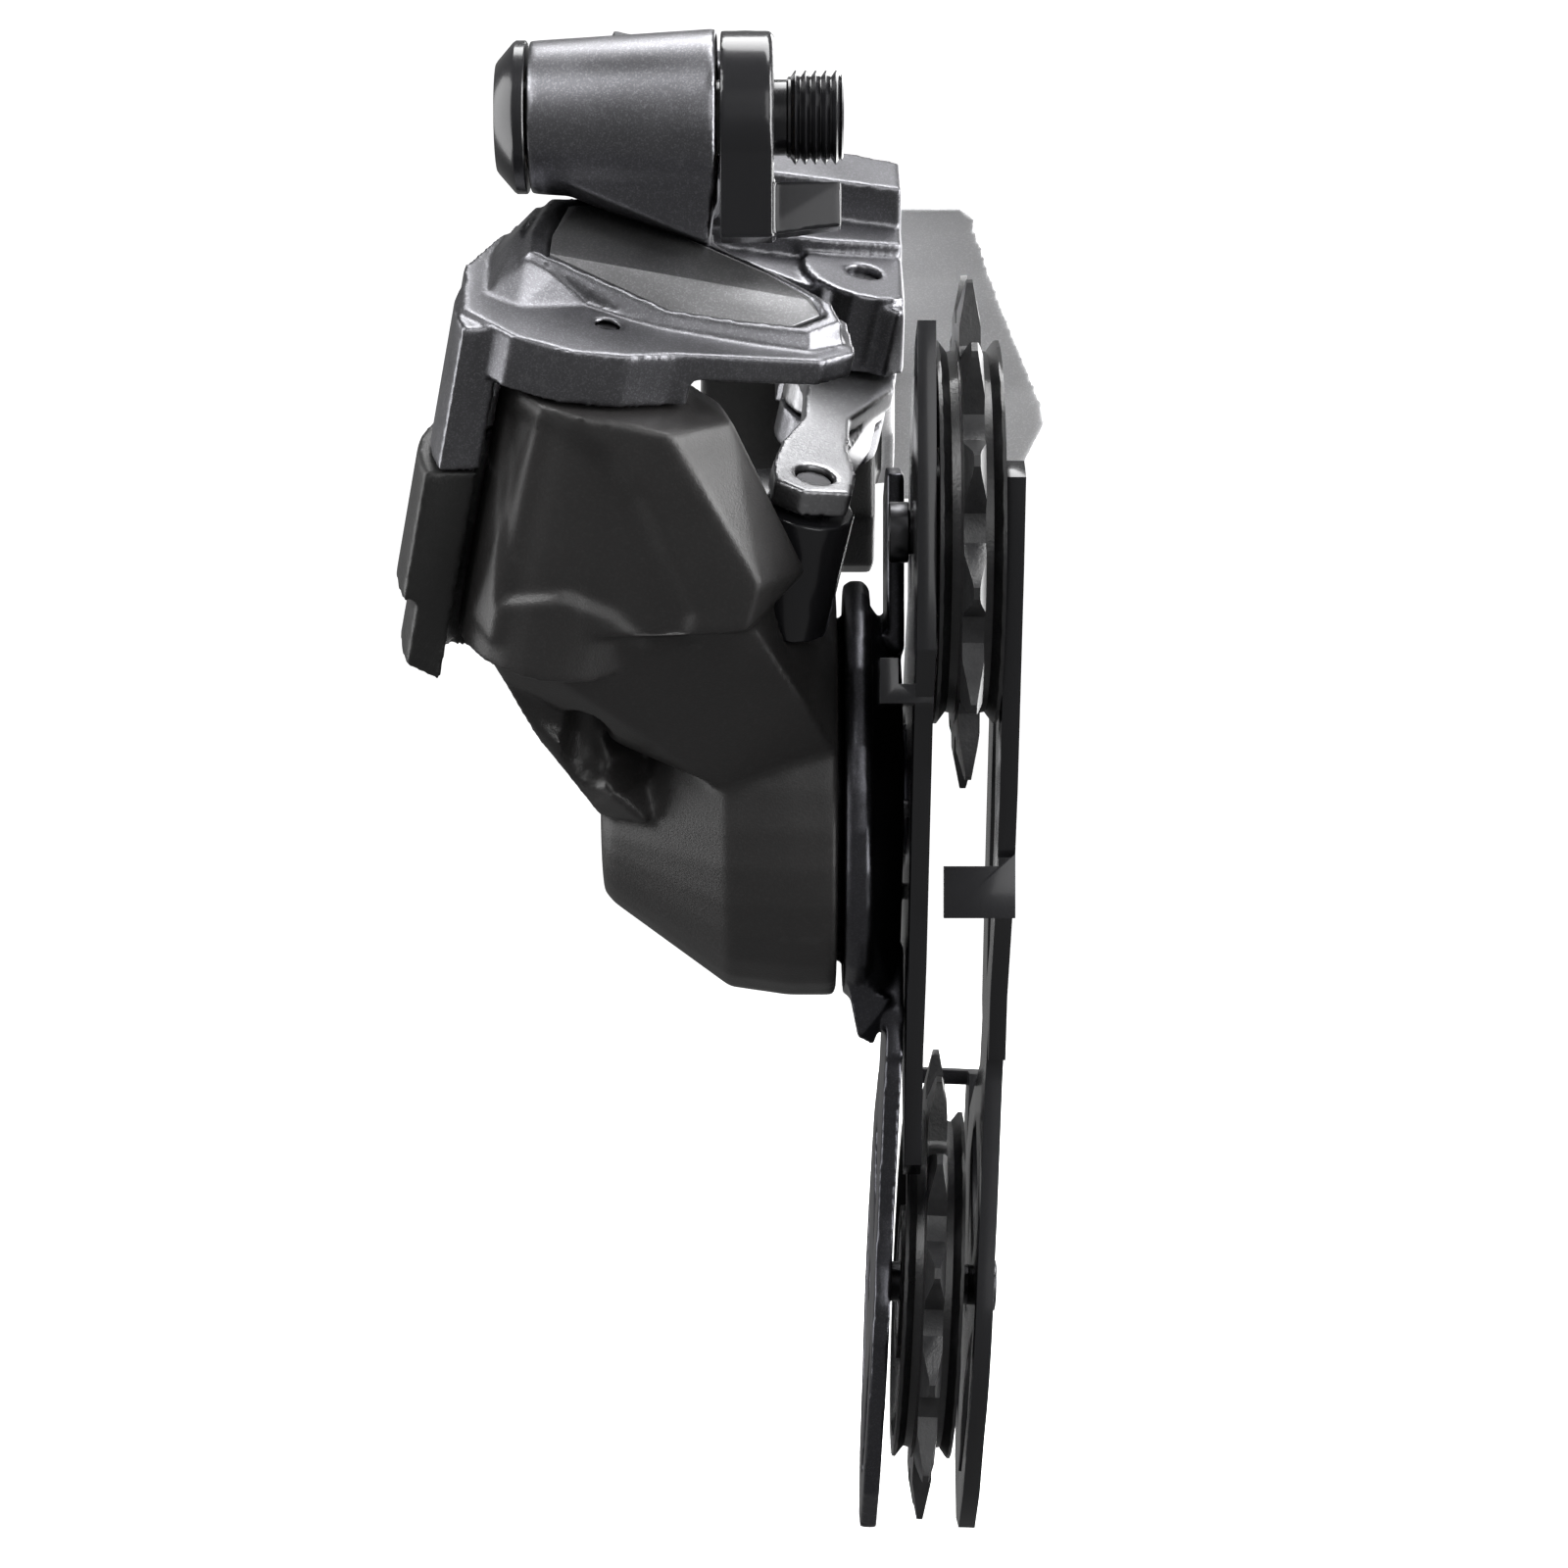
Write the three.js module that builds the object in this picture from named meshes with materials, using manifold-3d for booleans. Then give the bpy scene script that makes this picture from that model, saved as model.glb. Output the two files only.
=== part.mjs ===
// Rear bicycle derailleur, electronic, long cage, for a standard threaded hanger.
// Millimetres. +X points inboard towards the wheel, +Y rearward, +Z up.
// The origin is on the mounting bolt's axis, in the plane of the hanger's outer face.
import * as THREE from "three";
import { ConvexGeometry } from "three/addons/geometries/ConvexGeometry.js";
import { mergeVertices } from "three/addons/utils/BufferGeometryUtils.js";
import Module from "manifold-3d";

const wasm = await Module();
wasm.setup();

// ---------- driving dimensions ----------
const FIT = 0.3; // gap left between pieces that touch or turn on each other
const ROUND = 32; // sides of a large round piece
const SMALL_ROUND = 18; // sides of a small round piece

const THREAD_R = 5; // M10 x 1 mounting thread
const THREAD_LENGTH = 7.4;
const SHANK_R = 4;
const TUBE_OUTER_X = -26;
const TUBE_INNER_X = -6.1;

const PIN_DIRECTION = new THREE.Vector3(0.2, -0.5, 0.84).normalize(); // all four link pins
const OUTER_P_PIN = new THREE.Vector3(-17.23, -12, -23.46); // top of the outer link's knuckle pin
const LINK_LENGTH = 34.54;
const LINK_ANGLE = THREE.MathUtils.degToRad(83.5); // rest direction of both links in the pin frame
const LINK_STEP = [LINK_LENGTH * Math.cos(LINK_ANGLE), LINK_LENGTH * Math.sin(LINK_ANGLE)];
const INNER_P_PIN = [25.12, 4.68]; // pin frame
const OUTER_B_PIN = LINK_STEP;
const INNER_B_PIN = [INNER_P_PIN[0] + LINK_STEP[0], INNER_P_PIN[1] + LINK_STEP[1]];
const PIN_R = 1.9;
const SCREW_X = -3.2; // height adjusting screw
const SCREW_Y = 14.4;
const BRACKET_INNER_X = 14.7; // the cage plates swing past just inboard of this
const MOUNT_FACE_Y = 50.7; // rear face of the bracket, where the drive unit bolts on

const CAGE_Y = 40; // cage pivot
const CAGE_Z = -71.8;
const CAGE_AXLE_R = 4;
const HUB_R = 24.5;
const HOUSING_R = 24.2;
const HOUSING_INNER_X = 7.1;
const HUB_OUTER_X = 7.9;

const TEETH = 13;
const TIP_R = 28.7;
const ROOT_R = 22.6;
const DRUM_R = 21.2;
const DRUM_HALF = 3.5;
const TOOTH_HALF = 1.15;
const GUIDE = { x: 21.05, y: 15, z: -43.3 };
const TENSION = { x: 18.6, y: 61, z: -132.6 };
const CAGE_LEAN = THREE.MathUtils.degToRad(2.4); // the cage below its bend leans outboard
const BEND_Z = -100;
const ARM_X = [12.9, 14.9];
const GUIDE_PLATE_X = [15.2, 17.2];
const INNER_PLATE_X = [24.95, 26.95];

// ---------- helpers ----------
const root = new THREE.Group();
const finish = {
  satin: new THREE.MeshStandardMaterial({ color: 0x2b2b30, roughness: 0.42, metalness: 0.7 }),
  gloss: new THREE.MeshStandardMaterial({ color: 0x0b0b0d, roughness: 0.22, metalness: 0.6 }),
  polymer: new THREE.MeshStandardMaterial({ color: 0x1b1b1c, roughness: 0.55, metalness: 0 }),
  silver: new THREE.MeshStandardMaterial({ color: 0x8c8c8e, roughness: 0.35, metalness: 0.9 }),
  steel: new THREE.MeshStandardMaterial({ color: 0x17181b, roughness: 0.3, metalness: 0.85 }),
  spring: new THREE.MeshStandardMaterial({ color: 0x6d6f73, roughness: 0.35, metalness: 1 }),
  bronze: new THREE.MeshStandardMaterial({ color: 0x8a6b3c, roughness: 0.4, metalness: 0.9 }),
};

// A closed three.js geometry as a solid that can be joined and cut.
function solid(geometry, matrix = new THREE.Matrix4()) {
  const bare = geometry.index ? geometry.toNonIndexed() : geometry.clone();
  bare.deleteAttribute("normal");
  bare.deleteAttribute("uv");
  const merged = mergeVertices(bare.applyMatrix4(matrix), 1e-4);
  return new wasm.Manifold(
    new wasm.Mesh({
      numProp: 3,
      vertProperties: merged.attributes.position.array,
      triVerts: new Uint32Array(merged.index.array),
    }),
  );
}

function addNode(name, material, made) {
  const { vertProperties, triVerts } = made.getMesh();
  const geometry = new THREE.BufferGeometry();
  geometry.setAttribute("position", new THREE.BufferAttribute(new Float32Array(vertProperties), 3));
  geometry.setIndex(new THREE.BufferAttribute(triVerts, 1));
  geometry.computeVertexNormals();
  const mesh = new THREE.Mesh(geometry, finish[material]);
  mesh.name = name;
  root.add(mesh);
}

const join = (...pieces) => pieces.reduce((whole, piece) => whole.add(piece));
const cut = (whole, ...tools) => tools.reduce((left, tool) => left.subtract(tool), whole);

// Frames: local XY is the sketch plane and local Z the direction it is extruded in.
const pinFrame = (() => {
  const inboard = new THREE.Vector3(1, 0, 0).addScaledVector(
    PIN_DIRECTION, -PIN_DIRECTION.x,
  ).normalize();
  const rearward = new THREE.Vector3().crossVectors(PIN_DIRECTION, inboard);
  return new THREE.Matrix4().makeBasis(inboard, rearward, PIN_DIRECTION).setPosition(OUTER_P_PIN);
})();
const sideFrame = new THREE.Matrix4().makeBasis(
  new THREE.Vector3(0, 1, 0),
  new THREE.Vector3(0, 0, 1),
  new THREE.Vector3(1, 0, 0),
);
const frontFrame = new THREE.Matrix4().makeBasis(
  new THREE.Vector3(1, 0, 0),
  new THREE.Vector3(0, 0, 1),
  new THREE.Vector3(0, -1, 0),
);

function outline(points) {
  return new THREE.Shape(points.map(([x, y]) => new THREE.Vector2(x, y)));
}

// Extrudes a sketch from low to high along the frame's third axis, and cuts windows through it.
function slab(frame, points, low, high, windows = []) {
  const geometry = new THREE.ExtrudeGeometry(
    outline(points), { depth: high - low, bevelEnabled: false },
  );
  const body = solid(geometry, frame.clone().multiply(new THREE.Matrix4().makeTranslation(0, 0, low)));
  return cut(body, ...windows.map((window) => slab(frame, window, low - 1, high + 1)));
}

// Points of an arc about (x, y), both ends included, in degrees.
function arc(x, y, radius, from, to, steps = 12) {
  return Array.from({ length: steps + 1 }, (_, i) => {
    const a = THREE.MathUtils.degToRad(from + ((to - from) * i) / steps);
    return [x + radius * Math.cos(a), y + radius * Math.sin(a)];
  });
}

function disc(frame, [x, y], radius, low, high, sides = SMALL_ROUND) {
  return slab(frame, arc(x, y, radius, 0, 360 - 360 / sides, sides - 1), low, high);
}

function ring(frame, centre, outer, inner, low, high, sides = SMALL_ROUND) {
  return cut(
    disc(frame, centre, outer, low, high, sides),
    disc(frame, centre, inner, low - 1, high + 1, sides),
  );
}

// A round piece about an axis along X: profile points are [x, radius], and an open bore closes itself.
function turned(y, z, profile, sides = ROUND) {
  const points = profile.map(([x, radius]) => new THREE.Vector2(radius, x));
  if (points[0].x > 0) points.push(points[0].clone());
  if (THREE.ShapeUtils.area(points) < 0) points.reverse();
  const geometry = new THREE.LatheGeometry(points, sides);
  const place = new THREE.Matrix4()
    .makeTranslation(0, y, z)
    .multiply(new THREE.Matrix4().makeRotationZ(-Math.PI / 2));
  return solid(geometry, place);
}

function block(frame, [x0, x1], [y0, y1], [z0, z1]) {
  const geometry = new THREE.BoxGeometry(x1 - x0, y1 - y0, z1 - z0);
  const place = new THREE.Matrix4().makeTranslation((x0 + x1) / 2, (y0 + y1) / 2, (z0 + z1) / 2);
  return solid(geometry, frame.clone().multiply(place));
}

// The solid wrapped round a set of corner points, given in a frame.
function faceted(frame, corners) {
  const points = corners.map(([x, y, z]) => new THREE.Vector3(x, y, z).applyMatrix4(frame));
  return solid(new ConvexGeometry(points));
}

// A shape widened round a line of circles, such as a link between two eyes.
function strap(frame, eyes, low, high, steps = 9) {
  const corners = eyes.flatMap(([x, y, radius]) =>
    arc(x, y, radius, 0, 360 - 360 / (2 * steps), 2 * steps - 1).flatMap(([a, b]) => [
      [a, b, low],
      [a, b, high],
    ]),
  );
  return faceted(frame, corners);
}

const world = new THREE.Matrix4();
const hexagon = (x, y, across) => arc(x, y, across / Math.sqrt(3), 30, 330, 5);

// ---------- mounting bolt and stop ----------
function mountingBolt() {
  const profile = [
    [-28.6, 0], [-28.6, 5.2], [-26.8, 5.2], [-26.8, SHANK_R], [1.4, SHANK_R],
    [2, THREAD_R], [THREAD_LENGTH - 0.5, THREAD_R], [THREAD_LENGTH, 4.3], [THREAD_LENGTH, 0],
  ];
  const key = slab(sideFrame, hexagon(0, 0, 5), -30, -24);
  addNode("mounting_bolt", "gloss", cut(turned(0, 0, profile, 28), key));
}

function axleCap() {
  const profile = [[-29.6, 5.5], [-27.6, 8.1], [-26.2, 8.1], [-26.2, 5.5]];
  addNode("axle_cap", "gloss", turned(0, 0, profile));
}

function stopPlate() {
  const lowerLobe = slab(
    sideFrame,
    [[-8.4, -3], [-4.4, -13.4], [0.4, -13.4], [8.4, -3.4], [0, 0]],
    -5.7,
    -0.1,
  );
  const rearLobe = slab(
    sideFrame, [[6, -6.4], [12, -5], [17.6, -3.6], [17.6, -0.6], [8, 2]], -5.7, -0.1,
  );
  const tab = faceted(world, [
    [-3, -3.6, -7.4], [-3, 2.6, -7.4], [7.1, -3.4, -7.4], [7.1, 2, -7.4],
    [-3, -3.6, -13.4], [-3, 0.4, -13.4], [7.1, -3.2, -12], [7.1, 1, -12],
  ]);
  const body = turned(0, 0, [[-5.7, 0], [-5.7, 9.1], [-0.6, 9.1], [0, 8.5], [0, 0]]);
  const boreR = THREAD_R + FIT;
  const bore = turned(0, 0, [[-7, 0], [-7, boreR], [2, boreR], [2, 0]]);
  addNode("hanger_stop_plate", "gloss", cut(join(body, lowerLobe, rearLobe, tab), bore));
}

function axleBushes() {
  for (const [name, from, to] of [["axle_bush_outer", -25.6, -19], ["axle_bush_inner", -13, -6.4]]) {
    const profile = [[from, SHANK_R + 0.1], [from, 5.5], [to, 5.5], [to, SHANK_R + 0.1]];
    addNode(name, "bronze", turned(0, 0, profile, SMALL_ROUND));
  }
}

// ---------- bracket: the tube on the mounting bolt and the knuckle that holds the links ----------
function bracketBody() {
  const tube = turned(0, 0, [
    [TUBE_OUTER_X, 0], [TUBE_OUTER_X, 8.05], [TUBE_INNER_X, 9.35], [TUBE_INNER_X, 0],
  ]);
  const [bx, by] = OUTER_B_PIN;
  const [ix, iy] = INNER_B_PIN;
  const neck = faceted(pinFrame, [
    [-6, 18, 10], [8, 18, 10], [-4, 18, 20.5], [8, 18, 20.5],
    [-4, 45, 6], [12, 45, 6], [-4, 43, 16], [12, 43, 16],
    [-4, 30, 6.2], [10, 30, 6.2],
  ]);
  const upperLug = strap(pinFrame, [[bx, by, 7.2], [bx + 3, by + 10, 7]], FIT, 12);
  const lowerLug = strap(pinFrame, [[bx, by, 7], [bx + 3, by + 10, 7]], -13, -6 - FIT);
  const spine = slab(pinFrame, [[-3, 43], [14, 43], [14, 51], [-1, 51]], -13, 10);
  const crossBar = slab(
    pinFrame,
    [[10, 40], [ix - 6, iy - 5], [ix + 4, iy - 7.4], [ix + 7.4, iy - 4], [ix + 7, 52], [8, 52]],
    -14.4,
    -6,
  );
  const innerLug = disc(pinFrame, [ix, iy], 7.2, -14.4, -5);
  const innerLower = strap(pinFrame, [[ix, iy, 6.2], [ix + 1, iy + 10, 6]], -27, -22.4);
  const innerSpine = slab(
    pinFrame, [[ix - 6, 47.5], [ix + 7, 47.5], [ix + 7, 53], [ix - 6, 53]], -27, -6.3,
  );
  const ribs = [
    slab(pinFrame, [[10, 40], [24, 42], [36, 46], [36, 56], [10, 56]], -10, -3.4),
    slab(pinFrame, [[10, 46], [34, 50], [35, 58], [10, 58]], -8, 1.5),
  ];
  const screwLug = join(
    block(world, [-9.4, -1], [6.5, SCREW_Y + 3.4], [4.2, 8.7]),
    block(world, [-9.4, -6.3], [6.5, SCREW_Y + 3.4], [-4, 8.7]),
  );
  const solidBody = join(
    tube, screwLug, neck, upperLug, lowerLug, spine, crossBar, innerLug, innerLower, innerSpine,
    ...ribs,
  );
  const bore = turned(0, 0, [[-30, 0], [-30, 5.55], [0, 5.55], [0, 0]], SMALL_ROUND);
  const plateRoom = join(
    turned(0, 0, [[TUBE_INNER_X + 0.1, 0], [TUBE_INNER_X + 0.1, 9.6], [2, 9.6], [2, 0]]),
    block(world, [TUBE_INNER_X + 0.1, 2], [-20, 18.4], [-8, 4]),
  );
  const boltRoom = turned(0, 0, [[-1, 0], [-1, 6.2], [16, 6.2], [16, 0]], SMALL_ROUND);
  const outerPin = disc(pinFrame, [bx, by], PIN_R + 0.05, -12, 10.6);
  const innerPin = disc(pinFrame, [ix, iy], PIN_R + 0.05, -30, 0);
  const screwHole = disc(world, [SCREW_X, SCREW_Y], 1.9, -2, 20, 16);
  const unitRoom = join(
    block(world, [-20, 60], [MOUNT_FACE_Y, 90], [-60, 30]),
    block(world, [BRACKET_INNER_X, 60], [-10, 90], [-60, 30]),
  );
  const body = cut(solidBody, bore, plateRoom, boltRoom, outerPin, innerPin, screwHole, unitRoom);
  addNode("bracket_body", "satin", body);
}

function linkPins() {
  const pins = [
    ["outer_link_rear_pin", OUTER_B_PIN, -11.9, 10.4],
    ["inner_link_rear_pin", INNER_B_PIN, -26.9, -6],
  ];
  for (const [name, centre, low, high] of pins) addNode(
    name, "steel", disc(pinFrame, centre, PIN_R - 0.05, low, high),
  );
}

function adjustScrew() {
  const body = join(
    disc(world, [SCREW_X, SCREW_Y], 1.6, 1.1, 10.4, 16),
    disc(world, [SCREW_X, SCREW_Y], 2.6, 10, 11.7, 16),
  );
  addNode(
    "height_adjust_screw",
    "steel",
    cut(body, slab(world, hexagon(SCREW_X, SCREW_Y, 2.5), 10.4, 14)),
  );
}

// ---------- drive unit behind the bracket ----------
const GEARBOX_X = [2, 14.4];
const GEARBOX_REAR_Y = 80;
const WING_INNER_X = 37;
const TUNNEL_X = [-9, 12.1]; // the motor lies across the unit, under the gearbox
const MOTOR = [63.5, -34.5];
// Side section of the battery wing. Its lower front stays clear of the swinging cage.
const WING_SECTION = [
  [51, 5.5], [64, 5.5], [84, -3], [100, -20], [101, -32], [96.5, -33.5],
  [94.4, -29.8], [87.4, -19.5], [79, -13], [70, -7.6], [60, -3.6], [51, -2.2],
];
// Front outline of the wing: a low rear corner and a long slanted inboard side.
const WING_FRONT = [[1.9, -1.6], [23.8, -1.6], [35.8, -22.9], [32.3, -29.8], [28, -34], [1.9, -34]];
const WING_PLAN = [[1.9, 51], [22.6, 51], [24.8, 56], [35.4, 91], [35, 97], [31.5, 101.2], [1.9, 101.2]];
const LED = [8.2, -20];
const BUTTON = [8.2, -11];
const DOOR_X = [16, 27];
const DOOR_LENGTH = 22.5;
const DOOR_THICKNESS = 1.3;

// The battery door's frame: local X runs down the slanted rear face, local Y is that face's normal.
const doorFrame = (() => {
  const down = new THREE.Vector3(0, 16, -17).normalize();
  const out = new THREE.Vector3(0, 17, 16).normalize();
  return new THREE.Matrix4().makeBasis(down, out, new THREE.Vector3(1, 0, 0)).setPosition(0, 84, -3);
})();
const doorSpan = (inset) => [DOOR_X[0] + inset, DOOR_X[1] - inset];
const hingeCentre = [DOOR_LENGTH - 0.2, -0.5];

function driveUnitShell() {
  const wing = slab(sideFrame, WING_SECTION, GEARBOX_X[0], WING_INNER_X)
    .intersect(slab(world, WING_PLAN, -60, 30))
    .intersect(slab(frontFrame, WING_FRONT, -110, -40));
  const wingOnly = cut(wing, block(world, [-5, GEARBOX_X[1]], [GEARBOX_REAR_Y, 110], [-60, 20]));
  const gearbox = slab(
    sideFrame,
    [
      [51, -3], [58, -1], [72, -1], [GEARBOX_REAR_Y, -5], [GEARBOX_REAR_Y, -29], [76, -33],
      [55, -33], [51, -29],
    ],
    ...GEARBOX_X,
  );
  const tunnel = slab(
    sideFrame,
    [[51, -14], [77, -14], [77, -37], [71, -44.6], [57, -44.6], [51, -39]],
    ...TUNNEL_X,
  );
  const motorBay = disc(sideFrame, MOTOR, 8.6, TUNNEL_X[0] + 1.4, TUNNEL_X[1] - 1.4);
  const gearBay = block(world, [4, 12.6], [54, 90], [-30, -5]);
  const batteryBay = block(doorFrame, [3.4, 21.4], [-8, 4], doorSpan(1.4));
  const doorSeat = block(doorFrame, [2, DOOR_LENGTH + 0.4], [-DOOR_THICKNESS - 0.3, 4], doorSpan(-0.4));
  const hingeRoom = disc(doorFrame, hingeCentre, 1.4, ...doorSpan(-0.4));
  const lidSeat = block(world, [1, 15], [GEARBOX_REAR_Y - 1.7, 90], [-40, -5.4]).intersect(
    block(world, [1, GEARBOX_X[1] - 0.9], [60, 90], [-60, 20]),
  );
  addNode(
    "drive_unit_shell",
    "satin",
    cut(join(wingOnly, gearbox, tunnel), gearBay, motorBay, batteryBay, doorSeat, hingeRoom, lidSeat),
  );
}

function driveUnitLid() {
  const plate = block(world, [2.2, 13.2], [GEARBOX_REAR_Y - 1.4, GEARBOX_REAR_Y], [-29, -5.8]);
  const holes = [disc(frontFrame, LED, 1.3, -90, -70), disc(frontFrame, BUTTON, 2.6, -90, -70)];
  addNode("drive_unit_lid", "polymer", cut(plate, ...holes));
}

function batteryDoor() {
  const plate = block(doorFrame, [2.4, DOOR_LENGTH - 1.6], [-DOOR_THICKNESS, 0.2], doorSpan(0));
  const knuckle = cut(
    disc(doorFrame, hingeCentre, 1, ...doorSpan(0.2), 14),
    disc(doorFrame, hingeCentre, 0.5, ...doorSpan(-1), 10),
  );
  const tongue = block(doorFrame, [DOOR_LENGTH - 2, DOOR_LENGTH - 0.9], [-1.1, -0.2], doorSpan(0.2));
  addNode("battery_door", "satin", join(plate, knuckle, tongue));
  addNode("door_hinge_pin", "steel", disc(doorFrame, hingeCentre, 0.35, ...doorSpan(-0.3), 10));
  addNode("battery_pack", "polymer", block(doorFrame, [3.8, 20.9], [-7.6, -2], doorSpan(1.9)));
}

function driveInternals() {
  addNode("drive_motor", "spring", disc(sideFrame, MOTOR, 8, TUNNEL_X[0] + 2, TUNNEL_X[1] - 2, 20));
  addNode("gear_case", "polymer", block(world, [4.6, 12], [56, 76], [-19, -6]));
  addNode("control_board", "polymer", block(world, [4.6, 12], [76.6, 77.4], [-28, -6]));
  addNode(
    "status_lens",
    "polymer",
    disc(frontFrame, LED, 1.05, -GEARBOX_REAR_Y - 0.2, -GEARBOX_REAR_Y + 1.6, 12),
  );
  addNode(
    "mode_button",
    "polymer",
    disc(frontFrame, BUTTON, 2.25, -GEARBOX_REAR_Y - 1, -GEARBOX_REAR_Y + 1.2, 16),
  );
}

// ---------- outer link ----------
const LINK_PLATE = [
  [-9.5, -7.4], [-3.4, -8.6], [2.4, -7.2], [7.6, -4.4], [22.8, 0.6], [26.4, 4.5], [25.6, 12],
  [11, 27], [10, 36], [6, 41], [1, 41.2], [-3, 37], [-7, 26], [-12.4, 18], [-15.6, 8], [-15, -3],
];
const PANEL = [
  [-8.6, -0.6], [6.6, 0.2], [22, 5.6], [23.4, 8.8], [17.6, 14.2], [7.2, 16.2], [-4.4, 22.8],
  [-9.8, 20.4], [-12, 10],
];

function outerLink() {
  const plate = slab(pinFrame, LINK_PLATE, -6, 0);
  const [bx, by] = OUTER_B_PIN;
  const thin = slab(pinFrame, [[9.5, -10], [40, -10], [40, 40], [14.5, 26], [9.5, 12]], -7, -3);
  const island = faceted(pinFrame, [
    ...PANEL.map(([p, q]) => [p, q, 4]),
    ...PANEL.map(([p, q]) => [(p - 4) * 1.1 + 4, (q - 10) * 1.12 + 10, -0.5]),
  ]);
  const wall = slab(
    pinFrame,
    [...arc(0, 0, 16, 205, 100, 11), ...arc(0, 0, 11.3, 100, 205, 11)],
    -17,
    -0.5,
  );
  const inlay = slab(pinFrame, PANEL.map(([p, q]) => [(p - 5) * 0.93 + 5, (q - 9) * 0.9 + 9]), 2.6, 6);
  const pinHole = disc(pinFrame, [0, 0], PIN_R + 0.25, -8, 2);
  const bushHole = disc(pinFrame, [bx, by], 3.05, -8, 2);
  const bareFront = slab(pinFrame, [[-2, -4], [4, -4], [3, 3.2], [-3, 3]], -0.01, 6);
  addNode(
    "outer_link",
    "satin",
    cut(join(plate, island, wall), thin, inlay, pinHole, bushHole, bareFront),
  );
  const badge = slab(
    pinFrame,
    PANEL.map(([p, q]) => [(p - 5) * 0.905 + 5, (q - 9) * 0.865 + 9]),
    2.8,
    4.1,
  );
  addNode("outer_link_inlay", "satin", badge);
  const bush = ring(pinFrame, [bx, by], 2.8, PIN_R + 0.05, -5.9, -0.1);
  addNode("outer_link_bush", "bronze", bush);
}

function linkGuard() {
  const shell = slab(
    pinFrame,
    [...arc(0, 0, 17.2, 203, 97, 12), ...arc(0, 0, 11.3, 97, 203, 12)],
    -48.5,
    -17.4,
  );
  const lowerTrim = faceted(pinFrame, [
    [-30, -30, -70], [-30, 30, -70], [10, 30, -70], [10, -30, -70],
    [-30, -30, -32], [-30, 30, -35], [10, 30, -56], [10, -30, -52],
  ]);
  const step = slab(
    pinFrame,
    [...arc(0, 0, 21, 230, 80, 12), ...arc(0, 0, 15.6, 80, 230, 12)],
    -52,
    -33,
  );
  addNode("link_guard", "polymer", cut(shell, lowerTrim, step));
}

// ---------- inner link ----------
function innerLink() {
  const [px, py] = INNER_P_PIN;
  const [bx, by] = INNER_B_PIN;
  const plate = slab(
    pinFrame,
    [
      [px - 1.2, py - 4.6], [px + 4, py - 3], [px + 4.6, py + 2], [px + 3.8, py + 8],
      [px + 4.2, py + 16], [bx + 5.6, by - 8],
      ...arc(bx, by, 6.4, -20, 200, 10),
      [bx - 4.6, by - 9], [px - 1.2, py + 14], [px - 3.6, py + 7], [px - 4.6, py + 1.4],
      [px - 4.4, py - 3],
    ],
    -17.9,
    -14.9,
  );
  const rib = slab(
    pinFrame,
    [[px - 0.6, py + 9.5], [px + 3.4, py + 9.5], [bx + 4.6, by - 7], [bx - 3.6, by - 7]],
    -24,
    -17.5,
  );
  const eye = disc(pinFrame, [bx, by], 6.2, -22, -16);
  const body = cut(
    join(plate, rib, eye),
    disc(pinFrame, [px, py], PIN_R + 0.25, -30, -10),
    disc(pinFrame, [bx, by], 3.05, -30, -10),
  );
  addNode("inner_link", "silver", body);
  addNode("inner_link_bush", "bronze", ring(pinFrame, [bx, by], 2.8, PIN_R + 0.05, -21.9, -15));
}

// ---------- knuckle housing that carries the cage ----------
function housingCore() {
  const barrel = turned(CAGE_Y, CAGE_Z, [
    [-20, 0], [-20, 12], [-18.8, 13.4], [-5.3, 23.2], [1.6, HOUSING_R],
    [HOUSING_INNER_X - 0.3, HOUSING_R], [HOUSING_INNER_X, 23.9], [HOUSING_INNER_X, 0],
  ]);
  const pinBoss = disc(pinFrame, [0, 0], 9.8, -38, -6.5, 28);
  const upperFace = faceted(pinFrame, [
    [-5.6, -8.6, -6.6], [8, -10, -6.6], [14.6, -3, -7], [25.7, -2.5, -22.9], [20.4, -10, -21.6],
    [20.2, -10, -27.6],
    [-6, -8.6, -34.8], [-8.6, -5.6, -33.4], [3, 10, -7], [13, 6, -8.6], [26.6, 8.6, -29],
    [-6, 7, -42], [24, 16, -38], [12, 14, -40], [-9.8, 0, -38],
  ]);
  const shelf = faceted(world, [
    [-31.2, -1.6, -54.6], [-3.5, -4.4, -52.6], [3.3, 13, -48.4], [7.1, 21, -56], [7.1, 16.6, -68],
    [-5.3, 16.8, -72], [-5.3, 17.8, -62], [-17, 20, -67], [-29.8, 9, -59.6], [-32, 8, -56.2],
    [7.1, 34, -50], [-18, 30, -56],
  ]);
  const strutTop = faceted(world, [
    [-31.6, 7, -56.4], [-29.8, 9, -59.6], [-27.7, 13.6, -63.8], [-26.9, 16, -65.6], [-22, 20, -66],
    [-14, 20, -64], [-20, 32, -60], [-25, 24, -58], [-24, 14, -56],
  ]);
  const strutFoot = faceted(world, [
    [-27.7, 13.6, -63.4], [-26.9, 16, -65.6], [-21.4, 22, -71.4], [-19.9, 26, -75], [-14, 22, -76],
    [-16, 26, -60], [-24, 26, -60], [-19, 44, -64],
  ]);
  return join(barrel, pinBoss, upperFace, shelf, strutTop, strutFoot);
}

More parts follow.
